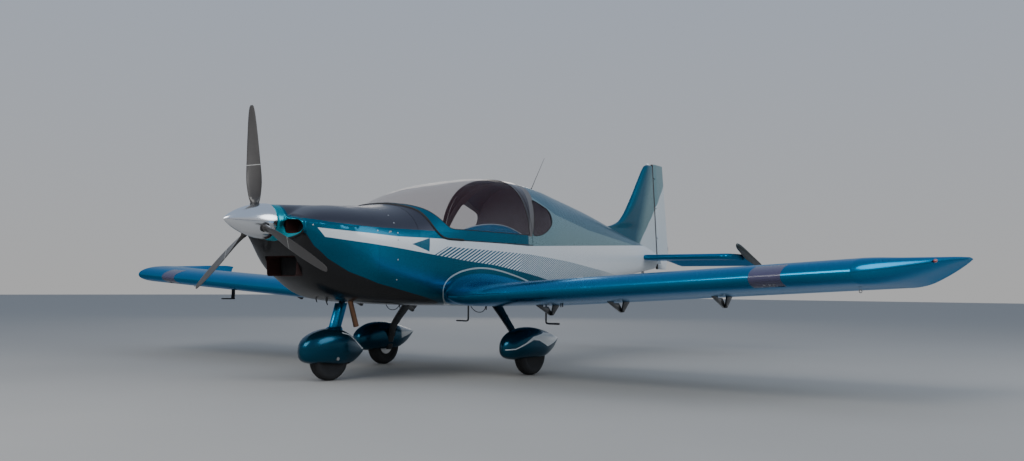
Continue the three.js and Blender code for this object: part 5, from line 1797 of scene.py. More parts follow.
@dataclass
class Wing(Assembly):
    """One wing: main part, flap, aileron, tip, root fillet and the fittings that they carry."""

    nose: float = -759.0
    chord: float = 1265.0
    fall: float = 89.0
    base: float = 612.0
    root: float = 800.0
    joint: float = 0.4
    foot: float = 520.0
    rear_face: float = 235.0
    flap_end: float = 2736.0
    aileron_start: float = 2750.0
    aileron_end: float = 3780.0
    dihedral: float = math.radians(3.37)
    section: Aerofoil = Aerofoil(178.0, 40.0)
    tips: Table = (
        (3710, -759, 831, 506, 741, 178), (3780, -759, 835, 506, 745, 178), (3850, -660, 846, 512, 752, 168),
        (3930, -470, 866, 540, 776, 140), (4010, -240, 890, 590, 824, 104), (4080, 10, 915, 650, 878, 66),
        (4130, 300, 938, 700, 925, 34), (4150, 560, 952, 730, 950, 14))
    brackets: Sequence[float] = (820.0, 1530.0, 2450.0)
    flap_pivot: Flat = (358.0, -161.0)
    pin: Point = (1.0, 0.0, 0.059)
    hinges: Sequence[float] = (2950.0, 3560.0)
    lamp: Flat = (3140.0, 3340.0)
    lamp_offsets: Sequence[float] = (-14.0, 18.0, 46.0)
    pin_line: Line = ((-440, 572), (-560, 594), (-664, 630), (-716, 676), (-729, 730), (-690, 786),
                                (-596, 834), (-480, 866), (-324, 886), (-161, 884), (-13, 867), (142, 840),
                                (307, 806), (520, 752))

    def leading(self, x: float) -> float:
        """Height of the leading edge at a distance out."""
        return self.base + math.tan(self.dihedral) * x

    def ends(self, x: float) -> tuple[Flat, Flat]:
        """Nose and tail of the section at a distance out."""
        return (self.nose, self.leading(x)), (self.nose + self.chord, self.leading(x) - self.fall)

    def skin(self, x: float, y: float, side: int) -> float:
        """Height of the upper (1) or lower (-1) skin."""
        part = np.array([(y - self.nose) / self.chord])
        return float(self.section.place(x, *self.ends(x), part, side)[0, 2])

    def middle(self, x: float, y: float) -> float:
        """Height of the chord line."""
        return self.leading(x) - self.fall * (y - self.nose) / self.chord

    def control_nose(self, x: float) -> tuple[float, float, float]:
        """Round nose of a flap or aileron: the station and height of its middle, and its depth.

        Args:
            x: Distance out.

        Returns:
            Station, height and depth.
        """
        start = self.rear_face + 8
        depth = (self.skin(x, start + 30, 1) - self.skin(x, start + 30, -1)) / 2
        y = start + depth
        return y, (self.skin(x, y, 1) + self.skin(x, y, -1)) / 2, depth

    def control_ring(self, x: float) -> np.ndarray:
        """Section of a flap or aileron: a round nose, then the wing's own section.

        Args:
            x: Distance out.

        Returns:
            Points of the section.
        """
        y, middle, depth = self.control_nose(x)
        high = self.skin(x, y, 1) - middle
        angle = np.linspace(0, math.pi, 17)
        ring = [(x, y - depth * math.sin(a), middle - high * math.cos(a)) for a in angle]
        tail = self.nose + self.chord
        behind = np.linspace(y, tail, 9)[1:]
        ring += [(x, place, self.skin(x, place, 1)) for place in behind]
        ring += [(x, place, self.skin(x, place, -1)) for place in behind[::-1]]
        return np.array(ring)

    def build(self) -> None:
        """Makes every piece of the wing."""
        word = self.side.word
        rear = (self.rear_face - self.nose) / self.chord
        rings = [self.section.ring(x, *self.ends(x), rear) for x in steps(self.root, self.aileron_end, 120)]
        recess = Shape().block((self.lamp[0], -800, self.leading(self.lamp[0]) - 70),
                               (self.lamp[1], -655, self.leading(self.lamp[1]) + 70))
        self.put("wing_skin", [self.palette.wing], "teal_paint", Shape().loft(rings), "wing",
                 cutters=[recess.on(self.side)])
        for name, low, high in (("flap", self.root + 8, self.flap_end),
                                ("aileron", self.aileron_start, self.aileron_end - 8)):
            rings = [self.control_ring(x) for x in steps(low, high, 120)]
            notches = [self.notch(x).on(self.side) for x in self.hinges] if name == "aileron" else []
            self.put(f"{name}_skin", [self.palette.wing], "teal_paint", Shape().loft(rings), name,
                     body=f"{name}_{word}", cutters=notches)
        self.tip()
        self.fillet()
        self.flap_brackets()
        self.aileron_lugs()
        self.lamps()
        self.top_fittings()

    def notch(self, x: float) -> Shape:
        """Body that cuts the aileron's nose free of one lug."""
        y, z, _ = self.control_nose(x)
        return Shape().block((x - 7, self.rear_face, z - 60), (x + 7, y + 16, z + 60))

    def flap_brackets(self) -> None:
        """Makes the underslung arms of the wing, the flap's legs on them and their pins."""
        arms, legs = Shape(), Shape()
        y, drop = self.flap_pivot
        for x in self.brackets:
            z, under = self.leading(x) + drop, self.leading(x) - 84
            skin, skin2 = self.middle(x, 200) + 10, self.middle(x, 430) + 4
            arms.prism([(150, skin), (228, skin), (234, under - 12), (312, under - 13), (y + 9, z + 8),
                        (y + 6, z - 12), (y - 10, z - 14), (150, under - 4)], x - 8, x + 8)
            arms.turned([(-11, 6), (-11, 9), (-8, 11), (8, 11), (8, 6), (24, 6), (25, 5)], (x, y, z), self.pin, 24)
            legs.prism([(372, skin2), (458, skin2), (462, under - 6), (y + 16, z - 10), (y - 8, z - 13),
                        (y - 12, z + 10), (366, under - 4)], x + 9, x + 21)
            legs.turned([(21, 14), (24, 14), (25, 12)], (x, y, z), self.pin, 24)
        self.put("flap_brackets", [self.palette.leg], "black_paint", arms, rounding=1.2)
        self.put("flap_legs", [self.palette.leg], "black_paint", legs, body=f"flap_{self.side.word}", rounding=1.2)

    def aileron_lugs(self) -> None:
        """Makes the lugs with their pins that carry the aileron."""
        lugs = Shape()
        for x in self.hinges:
            y, z, _ = self.control_nose(x)
            lugs.block((x - 4, 225, z - 12), (x + 4, y, z + 12))
            lugs.turned([(-4, 12), (4, 12)], (x, y, z), (1, 0, 0), 32)
            lugs.turned([(-14, 5), (14, 5)], (x, y, z), self.pin, 20)
        self.put("aileron_lugs", [self.palette.steel], "steel", lugs)

    def lamps(self) -> None:
        """Makes the landing lamps in the leading edge behind their clear cover."""
        low, high = self.lamp
        middle = (low + high) / 2
        parts = np.concatenate([np.linspace(0.34, 0, 16) ** 2, -np.linspace(0, 0.30, 14)[1:] ** 2])
        rows = []
        for x in steps(low - 8, high + 8, 24):
            line = [self.section.place(x, *self.ends(x), np.array([abs(part)]), 1 if part >= 0 else -1)[0]
                    for part in parts]
            rows.append([(px, py - 0.8, pz) for px, py, pz in line])
        self.put("lamp_cover", [self.palette.clear], "lamp_plastic", Shape().grid(rows), wall=1.5,
                 outward=(3240, -600, 780))
        screws, bowls = Shape(), Shape()
        for x in np.linspace(low - 2, high + 2, 5):
            for part, skin in ((0.098, 1), (0.075, -1)):
                place = self.section.place(x, *self.ends(x), np.array([part]), skin)[0]
                screws.turned([(-1, 3.6), (1.2, 3.6), (1.8, 2)], tuple(place), (0, -0.35, skin), 12)
        tray = Shape()
        for offset in self.lamp_offsets:
            x = middle + offset
            centre = (x, -700.0, self.leading(x) - 38)
            bowls.turned([(0, 5), (1, 9), (4, 11), (8, 12), (9, 12), (9, 11), (8, 10)], centre, (0, -1, 0), 24)
            tray.turned([(-44, 9), (-4, 13), (6, 13.5), (8, 12.5)], centre, (0, -1, 0), 24)
        tray.block((low + 2, -660, self.leading(low) - 52), (high - 2, -656, self.leading(low) + 52))
        self.put("lamp_bowls", [self.palette.lamp], "lamp_plastic", bowls)
        self.put("lamp_tray", [self.palette.black], "black_plastic", tray)
        self.put("lamp_screws", [self.palette.steel], "steel", screws)

    def top_fittings(self) -> None:
        """Makes the walkway, the fuel cap, the fuel drains and the navigation light."""
        rows = [[(x, y, self.skin(x, y, 1) + 0.9) for y in steps(-330, 222, 14)] for x in steps(812, 1120, 22)]
        self.put("walkway", [self.palette.walkway], "black_plastic", Shape().grid(rows), outward=(960, 0, 400),
                 wall=1.2)
        y = -470.0
        cap = Shape().turned([(-3, 40), (1.2, 40), (2.4, 38), (2.4, 31), (1.0, 30), (1.0, 8), (5, 7), (5.5, 5)],
                             (1650, y, self.skin(1650, y, 1)), (-0.055, -0.13, 1), 48)
        cap.block((1626, y - 4, self.skin(1650, y, 1) + 0.5), (1674, y + 4, self.skin(1650, y, 1) + 5))
        self.put("fuel_cap", [self.palette.steel], "steel", cap, rounding=0.6)
        drains = Shape()
        for x, y in ((1130, 60), (1175, 20)):
            z = self.skin(x, y, -1)
            drains.turned([(-4, 11), (2, 11), (3, 5), (26, 4.5), (30, 3)], (x, y, z), (0, 0, -1), 20)
        self.put("fuel_drains", [self.palette.black], "steel", drains)
        lens = self.palette.red if self.side is Side.PORT else self.palette.green
        light = Shape().turned([(-34, 1), (-31, 6), (-22, 10.5), (-8, 13), (8, 12), (30, 8), (48, 3), (52, 1)],
                               (4080, 0, 920), (0, 1, 0.07), 28)
        self.put("navigation_light", [lens], "lamp_plastic", light)

    def tip(self) -> None:
        """Makes the raked, upturned tip."""
        start, end = self.aileron_end + self.joint, self.tips[-1][0]
        places = start + (end - start) * (1 - (1 - np.linspace(0, 1, 34)) ** 1.5)
        rows = rows_at(self.tips, places)
        rings = [Aerofoil(max(thick, 8), 0.2247 * thick).ring(x, (ny, nz), (ty, tz))
                 for x, (ny, nz, ty, tz, thick) in zip(places, rows)]
        self.put("wing_tip", [self.palette.teal], "teal_composite", Shape().loft(rings), "wingtip")

    def fillet_point(self, x: float, part: float, skin: int) -> Point:
        """Point of the root fillet.

        Args:
            x: Distance out.
            part: Part of the chord.
            skin: 1 above and -1 below.

        Returns:
            The point.
        """
        out = min(max((x - self.foot) / (self.root - self.joint - self.foot), 0), 1)
        swell = (1 - out) ** 2.6
        mix = lambda wing, body: wing + (body - wing) * swell
        nose = (mix(self.nose, -706), mix(self.leading(x), 694))
        tail = (mix(self.nose + self.chord, 850), mix(self.leading(x) - self.fall, 640))
        section = Aerofoil(mix(178, 300), mix(40, 62))
        return tuple(section.place(x, nose, tail, np.array([part]), skin)[0])

    def fillet(self) -> None:
        """Makes the fillet from the body's skin out to the wing, and the pin line round it on the body."""
        parts = [(p, 1) for p in np.linspace(1, 0, 40) ** 2] + [(p, -1) for p in np.linspace(0, 1, 40)[1:] ** 2]
        columns = []
        for part, skin in parts:
            low, high = 430.0, 640.0
            for _ in range(24):
                middle = (low + high) / 2
                _, y, z = self.fillet_point(middle, part, skin)
                low, high = (middle, high) if middle < BODY.half_width(y, z) else (low, middle)
            start = low - 3
            outs = start + (self.root - self.joint - start) * np.linspace(0, 1, 26) ** 1.4
            columns.append([self.fillet_point(x, part, skin) for x in outs])
        rows = np.array(columns).transpose(1, 0, 2)
        self.put("root_fillet", [self.palette.teal], "teal_composite", Shape().grid(rows, around=True), "root_fairing",
                 wall=2, outward=(600, 0, 640))
        self.put("pin_line", [self.palette.pale], "pale_paint", Shape().grid(BODY.ribbon(self.pin_line, 13, 120)))


@dataclass
class Tail(Assembly):
    """Stabiliser, elevator, fin, rudder, their lugs and the strobe."""

    height: float = 1088.0
    nose: float = 3200.0
    rear: float = 3660.0
    half: float = 1150.0
    hinge: float = 3700.0
    droop: float = math.radians(-19)
    post: Flat = (3735.0, 1132.0)
    post_slope: Flat = (112.0, 1078.0)
    rudder_rear: Line = ((3960.0, 960.0), (4021.0, 1141.0), (157.0, 1080.0))
    fin_rows: Table = (
        (1120, 2350, 30), (1405, 2480, 34), (1424, 2650, 40), (1477, 2826, 54), (1540, 2915, 64), (1610, 2988, 72),
        (1700, 3062, 78), (1800, 3140, 75), (1989, 3278, 67), (2121, 3376, 60), (2172, 3426, 50), (2192, 3470, 34))
    stabiliser_rows: Table = ((0, 3200), (1070, 3200), (1105, 3207), (1130, 3228), (1143, 3258),
                                                    (1150, 3310))
    horn_rows: Table = (
        (1162, 3640, 3970, 50), (1172, 3540, 3970, 52), (1185, 3420, 3970, 54), (1197, 3330, 3969, 54),
        (1210, 3302, 3968, 52), (1226, 3312, 3963, 46), (1240, 3366, 3952, 36), (1250, 3470, 3930, 18))
    elevator_lugs: Sequence[float] = (380.0, 900.0)
    rudder_lugs: Sequence[float] = (1330.0, 1690.0, 2040.0)

    def hinge_station(self, z: float) -> float:
        """Station of the rudder's pivot line at a height."""
        return self.post[0] - self.post_slope[0] * (z - self.post[1]) / self.post_slope[1]

    def rudder_tail(self, z: float) -> float:
        """Station of the rudder's trailing edge at a height."""
        (y0, z0), (y1, z1), (run, rise) = self.rudder_rear
        return y0 + (y1 - y0) * (z - z0) / (z1 - z0) if z < z1 else y1 - (z - z1) * run / rise

    def symmetric_ring(self, nose: float, rear: float, half: float, tail_half: float, bulge: float) -> np.ndarray:
        """Closed symmetric section: a round nose and flat sides to the rear.

        Args:
            nose: Station of the nose.
            rear: Station of the rear.
            half: Half thickness behind the nose.
            tail_half: Half thickness at the rear.
            bulge: Length of the round nose.

        Returns:
            Points (thickness, station).
        """
        angle = np.linspace(-math.pi / 2, math.pi / 2, 21)
        ring = [(half * math.sin(a), nose + bulge * (1 - math.cos(a))) for a in angle]
        run = np.linspace(0, 1, 7)[1:]
        start = nose + bulge
        ring += [(half + (tail_half - half) * t, start + (rear - start) * t) for t in run]
        ring += [(-half - (tail_half - half) * t, start + (rear - start) * t) for t in run[::-1]]
        return np.array(ring)

    def level_ring(self, x: float, nose: float, rear: float, thick: float, tail: float, bulge: float) -> np.ndarray:
        """Section of the tailplane at a distance out."""
        ring = self.symmetric_ring(nose, rear, thick / 2, tail / 2, bulge)
        return np.column_stack([np.full(len(ring), x), ring[:, 1], self.height + ring[:, 0]])

    def upright_ring(self, z: float, nose: float, rear: float, thick: float, tail: float) -> np.ndarray:
        """Section of the fin or rudder at a height."""
        ring = self.symmetric_ring(nose, rear, thick / 2, tail / 2, min(thick * 1.5, (rear - nose) * 0.6))
        return np.column_stack([ring[:, 0], ring[:, 1], np.full(len(ring), z)])

    def parked(self, shape: Shape) -> Shape:
        """Turns a shape of the elevator to its parked angle about its pivot line.

        Args:
            shape: Shape to turn.

        Returns:
            The same shape.
        """
        pivot = Vector((0, self.hinge, self.height))
        turn = Matrix.Rotation(self.droop, 3, "X")
        shape.points = [tuple(turn @ (Vector(p) - pivot) + pivot) for p in shape.points]
        return shape

    def build(self) -> None:
        """Makes every piece of the tail."""
        places = np.concatenate([steps(0, 1070, 90), np.linspace(1070, self.half, 14)[1:]])
        noses = rows_at(self.stabiliser_rows, places)[:, 0]
        half = [self.level_ring(x, n, self.rear, 62, 62, 68) for x, n in zip(places, noses)]
        rings = [ring * (-1, 1, 1) for ring in half[:0:-1]] + half
        self.put("tailplane", [self.palette.tail], "teal_paint", Shape().loft(rings), "stabiliser")
        self.elevator()
        self.fin()
        self.lugs()

    def elevator(self) -> None:
        """Makes the elevator with its horns, turned to its parked angle."""
        nose = self.rear + 8
        shape = Shape()
        low, high = self.horn_rows[0][0], self.horn_rows[-1][0]
        for sign in (1, -1):
            inner = [self.level_ring(sign * x, nose, float(np.interp(x, (115, 215), (nose + 90, 3970))), 52, 4, 26)
                     for x in np.linspace(115, low, 30)]
            shape.loft(inner)
            fine = np.linspace(low, high, 30)
            curves = rows_at(self.horn_rows, fine)
            shape.loft([self.level_ring(sign * x, n, t, k, 4, k / 2 + 20) for x, (n, t, k) in zip(fine, curves)], 1)
        shape.tube([(-200, self.hinge, self.height), (200, self.hinge, self.height)], 18, 20)
        notches = [self.parked(Shape().block((x - 7, self.rear, self.height - 60), (x + 7, 3716, self.height + 60)))
                   for place in self.elevator_lugs for x in (-place, place)]
        self.put("elevator_skin", [self.palette.tail, self.palette.horn], "teal_paint", self.parked(shape), "elevator",
                 body="elevator", cutters=notches)

    def fin(self) -> None:
        """Makes the fin with its long fillet, the rudder with its tab and the strobe."""
        levels = np.concatenate([steps(1120, 1405, 40), steps(1405, 1430, 3)[1:], steps(1430, 1540, 7)[1:],
                                 steps(1540, 2121, 24)[1:], steps(2121, 2192, 5)[1:]])
        rows = rows_at(self.fin_rows, levels)
        rings = [self.upright_ring(z, n, self.hinge_station(z) - 34, k, 50) for z, (n, k) in zip(levels, rows)]
        self.put("fin_skin", [self.palette.fin], "teal_composite", Shape().loft(rings), "fin")
        levels = np.concatenate([steps(960, 1141, 12), steps(1141, 2212, 36)[1:]])
        rings = [self.upright_ring(z, self.hinge_station(z) - 26, self.rudder_tail(z), 50, 5) for z in levels]
        cuts = [Shape().block((-80, 3600, 1026), (80, 3795, 1132))]
        for z in self.rudder_lugs:
            y = self.hinge_station(z)
            cuts.append(Shape().block((-60, y - 60, z - 7), (60, y + 16, z + 7)))
        self.put("rudder_skin", [self.palette.rudder], "pale_paint", Shape().loft(rings), "rudder", body="rudder",
                 cutters=cuts)
        tab = Shape().block((-1.5, 3985, 1160), (1.5, 4021, 1235))
        self.put("rudder_tab", [self.palette.black], "steel", tab, body="rudder", rounding=0.4)
        self.put("strobe_lens", [self.palette.lamp], "lamp_plastic",
                 Shape().turned([(0, 12), (4, 12), (5, 10.5), (16, 10), (22, 8.5), (26, 5), (28, 1)], (0, 3520, 2192.4),
                 (0, 0, 1), 24), "strobe")

    def lugs(self) -> None:
        """Makes the lugs with their pins that carry the elevator and the rudder."""
        shape = Shape()
        for place in self.elevator_lugs:
            for x in (-place, place):
                pivot = (x, self.hinge, self.height)
                shape.block((x - 4, 3650, self.height - 12), (x + 4, self.hinge, self.height + 12))
                shape.turned([(-4, 12), (4, 12)], pivot, (1, 0, 0), 32)
                shape.turned([(-14, 5), (14, 5)], pivot, (1, 0, 0), 20)
        for z in self.rudder_lugs:
            y = self.hinge_station(z)
            shape.block((-12, y - 42, z - 4), (12, y, z + 4))
            shape.turned([(-4, 12), (4, 12)], (0, y, z), (0, 0, 1), 32)
            shape.turned([(-14, 5), (14, 5)], (0, y, z), (0, -POST_LEAN, 1), 20)
        self.put("tail_lugs", [self.palette.steel], "steel", shape)
        pad = Shape().block((-9, 3380, 908), (9, 3420, 935))
        pad.tube([(0, 3394, 903), (0, 3394, 908)], 2.5, 10)
        self.put("tail_tie_down", [self.palette.steel], "steel", pad, rounding=1.5)


@dataclass
class Propeller(Assembly):
    """Spinner and three blades."""

    axis: float = 1192.0
    plane: float = -2180.0
    tip: float = -2454.0
    back: float = -2090.0
    radius: float = 131.0
    blades: int = 3
    rest: float = math.radians(-5)
    rows: Table = (
        (46, 62, 62, 60), (120, 60, 58, 58), (170, 84, 34, 52), (290, 112, 20, 40), (450, 104, 14, 29),
        (620, 86, 10, 22), (770, 62, 7, 18), (835, 40, 5, 16), (850, 22, 3, 16))
    band: Flat = (404.0, 409.0)

    def turns(self) -> list[Matrix]:
        """Rotation of each blade about the shaft line."""
        return [Matrix.Rotation(self.rest + 2 * math.pi * number / self.blades, 3, "Y")
                for number in range(self.blades)]

    def build(self) -> None:
        """Makes the spinner, the blades and their bosses."""
        length = self.back - self.tip
        part = np.linspace(0, 1, 48) ** 1.5
        profile = [(s * length, self.radius * (1 - (1 - s) ** 1.8) ** 0.8) for s in part]
        profile += [(length, self.radius - 3), (length - 2, self.radius - 5)]
        place = (0, self.plane, self.axis)
        holes = [Shape().tube([(0, 0, 80), (0, 0, 260)], 37, 40).moved(turn, place) for turn in self.turns()]
        shape = Shape().turned(profile, (0, self.tip, self.axis), (0, 1, 0), 120)
        self.put("spinner_shell", [self.palette.chrome], "polished_metal", shape, "spinner", body="propeller",
                 cutters=holes, sharp=40)
        for number, turn in enumerate(self.turns(), 1):
            self.put(f"blade_skin_{number}", [self.palette.blade, self.palette.blade_mark], "blade_composite",
                     self.blade().moved(turn, place), f"blade_{number}", body="propeller")
            boss = Shape().turned([(96, 33), (96, 35.8), (119, 35.8), (124, 34.6), (127, 32.2), (128, 30.6)],
                                  (0, 0, 0), (0, 0, 1), 40)
            self.put(f"blade_boss_{number}", [self.palette.black], "polished_metal", boss.moved(turn, place),
                     body="propeller")

    def blade(self) -> Shape:
        """Blade standing up from the shaft line, with its thin painted band.

        Returns:
            The blade.
        """
        reaches = np.unique(np.concatenate([steps(46, 850, 13), self.band]))
        curves = rows_at(self.rows, reaches)
        c, s = circle(32)
        rings = []
        for reach, (chord, thick, pitch) in zip(reaches, curves):
            turn = math.radians(pitch)
            lift = thick * 0.25 * s ** 2 if reach > 150 else 0
            along, off = chord / 2 * c, thick / 2 * s + lift
            rings.append(np.column_stack([along * math.cos(turn) - off * math.sin(turn),
                                          along * math.sin(turn) + off * math.cos(turn), np.full(32, reach)]))
        shape = Shape().loft(rings)
        for index, face in enumerate(shape.faces):
            reach = sum(shape.points[i][2] for i in face) / len(face)
            shape.marks[index] = int(self.band[0] <= reach <= self.band[1])
        return shape


@dataclass
class Wheel(Assembly):
    """Tyre and rim on one axle."""

    name: str
    body: str
    centre: Flat
    bolts: int = 6

    def build(self) -> None:
        """Makes the tyre with its grooves and the rim with its flanges, bolts and brake disc."""
        centre = (*self.centre, AXLE_HEIGHT)
        x, y = self.centre
        profile = [(-34, 95.4), (-37, 104), (-44, 118), (-49, 132), (-49.5, 144), (-46, 155), (-40, 162), (-30, 167)]
        for groove in (-20, 0, 20):
            profile += [(groove - 4, 169.6), (groove - 2.5, 164.5), (groove + 2.5, 164.5), (groove + 4, 169.6)]
        profile += [(-a, r) for a, r in profile[7::-1]]
        self.put(f"tyre_rubber_{self.name}", [self.palette.tyre], "tyre",
                 Shape().turned(profile, centre, (1, 0, 0), 96), f"tyre_{self.name}", body=self.body, sharp=50)
        rim = [(-31, 15), (-31, 34), (-20, 40), (-12, 70), (-16, 84), (-31, 88), (-31, 95), (-27, 95), (-24, 90),
               (24, 90), (27, 95), (31, 95), (31, 88), (16, 84), (12, 70), (20, 40), (31, 34), (31, 15)]
        shape = Shape().turned(rim, centre, (1, 0, 0), 64)
        for number in range(self.bolts):
            angle = 2 * math.pi * number / self.bolts
            place = (y + 56 * math.cos(angle), AXLE_HEIGHT + 56 * math.sin(angle))
            shape.turned([(-21, 5), (-20, 6.5), (20, 6.5), (21, 5)], (x, *place), (1, 0, 0), 6)
        self.put(f"wheel_rim_{self.name}", [self.palette.alloy], "alloy", shape, f"rim_{self.name}", body=self.body,
                 sharp=30)
        if self.name != "nose":
            inner = -38 if x > 0 else 34
            disc = Shape().turned([(inner, 42), (inner, 74), (inner + 4, 74), (inner + 4, 42)], centre, (1, 0, 0), 64)
            self.put(f"brake_disc_{self.name}", [self.palette.steel], "steel", disc, body=self.body)


@dataclass
class Spat(Assembly):
    """Teardrop fairing over one wheel, open below."""

    name: str
    body: str
    centre: Flat
    node: str
    rows: Table
    paint: Material
    square: float = 0.8
    opening: Flat = (66.0, 182.0)

    def section(self, top: float, bottom: float, half: float) -> np.ndarray:
        """Rounded section of the shell: distances out and heights.

        Args:
            top: Height of its top.
            bottom: Height of its lower edge.
            half: Half its width.

        Returns:
            Points (x, z).
        """
        c, s = circle(64)
        return np.column_stack([np.sign(c) * np.abs(c) ** self.square * half,
                                (top + bottom) / 2 + np.sign(s) * np.abs(s) ** self.square * (top - bottom) / 2])

    def build(self) -> None:
        """Makes the shell and its black lining."""
        x, y = self.centre
        part = np.linspace(0, 1, 52)
        first, last = self.rows[0][0], self.rows[-1][0]
        places = first + (last - first) * (part * part * (3 - 2 * part) * 0.45 + part * 0.55)
        curves = rows_at(self.rows, places)
        rings = [np.insert(self.section(*row), 1, place, axis=1) + (x, y, 0) for place, row in zip(places, curves)]
        slot = [(x + a, y + b) for a, b in rounded_box(*self.opening, 40, 8)]
        tool = Shape().prism(slot, 80, 215, Axis.Z)
        self.put(self.name, [self.paint], "teal_composite", Shape().loft(rings), self.node, body=self.body, wall=4,
                 cutters=[tool])
        inside = [np.insert(self.section(top - 8, bottom + 8, max(half - 8, 1)), 1, place, axis=1)
                  + (x, y, 0) for place, (top, bottom, half) in zip(places[6:-8], curves[6:-8])]
        self.put(f"{self.name}_lining", [self.palette.black], "black_plastic", Shape().loft(inside), body=self.body,
                 wall=1.5, cutters=[tool])


@dataclass
class MainGear(Assembly):
    """Spring leg, fairing, brake and wheel on one side."""

    track: float = 858.0
    leg: Table = (
        (440, -30, 641, 62, 11, 48), (521, -30, 570, 58, 11, 46), (690, -35, 372, 44, 10, 38),
        (740, -18, 262, 36, 9, 24), (784, 0, 140, 34, 9, 8))
    rows: Table = (
        (-372, 250, 205, 10), (-350, 298, 168, 52), (-280, 350, 142, 88), (-170, 388, 136, 108), (-30, 398, 136, 114),
        (120, 376, 138, 104), (260, 340, 190, 66), (350, 314, 250, 32), (399, 300, 288, 8))

    def leg_shape(self) -> Shape:
        """Flat spring leg through its stops, on the port side.

        Returns:
            The leg.
        """
        table = np.array(self.leg, float)
        keys = np.arange(len(table), dtype=float)
        fine = between(keys, table, np.linspace(0, len(table) - 1, 60))
        rings = []
        for x, y, z, half, thick, lean in fine:
            angle = math.radians(lean)
            outline = rounded_box(half, thick, thick * 0.9, 4)
            rings.append([(x + b * math.cos(angle), y + a, z + b * math.sin(angle)) for a, b in outline])
        return Shape().loft(rings)

    def build(self) -> None:
        """Makes the leg, its brake line and cuff, the fairing and the wheel."""
        word = self.side.word
        self.put("spring_leg", [self.palette.leg], "black_paint", self.leg_shape(), "main_leg")
        route = smooth_line([(506, 34, 575), (530, 38, 566), (566, 28, 524), (612, 20, 470), (660, 14, 410),
                             (694, 11, 366), (716, 16, 318), (736, 22, 262)], 40)
        line = Shape().tube(route, 3.4, 10)
        for x, y, z in ((600, 22, 484), (672, 13, 395)):
            line.turned([(-6, 3.6), (-6, 5.6), (6, 5.6), (6, 3.6)], (x, y, z), (0.64, -0.1, -0.76), 16)
        self.put("brake_line", [self.palette.black], "black_plastic", line)
        x = self.track * self.side.value
        upper = ((-366, 226), (-300, 232), (-190, 276), (-96, 323), (23, 340), (67, 352), (399, 330))
        lower = ((-366, 220), (-300, 224), (-190, 263), (-96, 297), (-20, 289), (113, 236), (260, 262), (399, 296))
        paint = SpatPaint(f"fairing_paint_{word}", 0, upper, lower, self.track).make()
        Spat(self.palette, f"wheel_fairing_{word}", "airframe", (x, 0), f"main_spat_{word}", self.rows, paint).build()
        Wheel(self.palette, word, f"wheel_{word}", (x, 0)).build()


@dataclass
class NoseGear(Assembly):
    """Faired nose leg with its fork, fairing and wheel."""

    axle: float = -1455.0
    top: Flat = (-1326.3, 607.0)
    foot: Flat = (-1400.0, 388.0)
    rows: Table = (
        (-290, 258, 215, 10), (-270, 300, 168, 50), (-215, 348, 142, 84), (-120, 384, 128, 106),
        (-10, 400, 118, 114), (100, 388, 110, 106), (200, 346, 120, 74), (290, 286, 160, 36), (354, 238, 204, 8))

    def point(self, down: float) -> Flat:
        """Station and height on the steering line, a distance down from the belly."""
        tilt = math.atan2(self.top[0] - self.foot[0], self.top[1] - self.foot[1])
        return self.top[0] - down * math.sin(tilt), self.top[1] - down * math.cos(tilt)

    def leg_ring(self, down: float, grow: float = 0.0) -> list[Point]:
        """Section of the faired leg, level, a distance down from the belly.

        Args:
            down: Distance down from the belly.
            grow: How far it is grown.

        Returns:
            Points of the section.
        """
        half = smooth_line([(-62 - grow, 2), (-52 - grow * 0.9, 20 + grow), (-15, 30 + grow), (20, 21 + grow),
                            (58 + grow, 2)], 26)
        outline = np.vstack([half, half[::-1][1:-1] * (1, -1)])
        y, z = self.point(down)
        return [(b, y + a, z) for a, b in outline]

    def build(self) -> None:
        """Makes the leg, the fairing and the wheel."""
        shape = Shape().loft([self.leg_ring(down) for down in (14, 80, 160, 243)])
        shape.tube([(0, *self.point(258)), (0, *self.point(-50))], 24, 28)
        for side in (1, -1):
            outline = [(self.axle - 32, 368), (self.axle + 40, 368), (self.axle + 28, 142), (self.axle - 28, 142)]
            shape.prism(outline, side * 66.5, side * 73.5)
        shape.block((-74, self.axle - 32, 350), (74, self.axle + 40, 370))
        self.put("nose_leg_fairing", [self.palette.teal], "teal_composite", shape, "nose_leg", body="nose_gear",
                 rounding=1.5)
        cuff = Shape().loft([self.leg_ring(down, grow) for down, grow in
                             ((236, 26), (226, 20), (218, 13), (210, 7), (208, 4), (210, 1.5), (232, 1.5))])
        self.put("nose_leg_cuff", [self.palette.teal], "teal_composite", cuff, body="nose_gear")
        paint = SpatPaint("nose_fairing_paint", self.axle, ((60, 372), (150, 352), (240, 300), (330, 236)),
                          ((60, 362), (150, 342), (240, 291), (330, 229))).make()
        Spat(self.palette, "nose_wheel_fairing", "nose_gear", (0, self.axle), "nose_spat", self.rows, paint).build()
        Wheel(self.palette, "nose", "nose_wheel", (0, self.axle)).build()


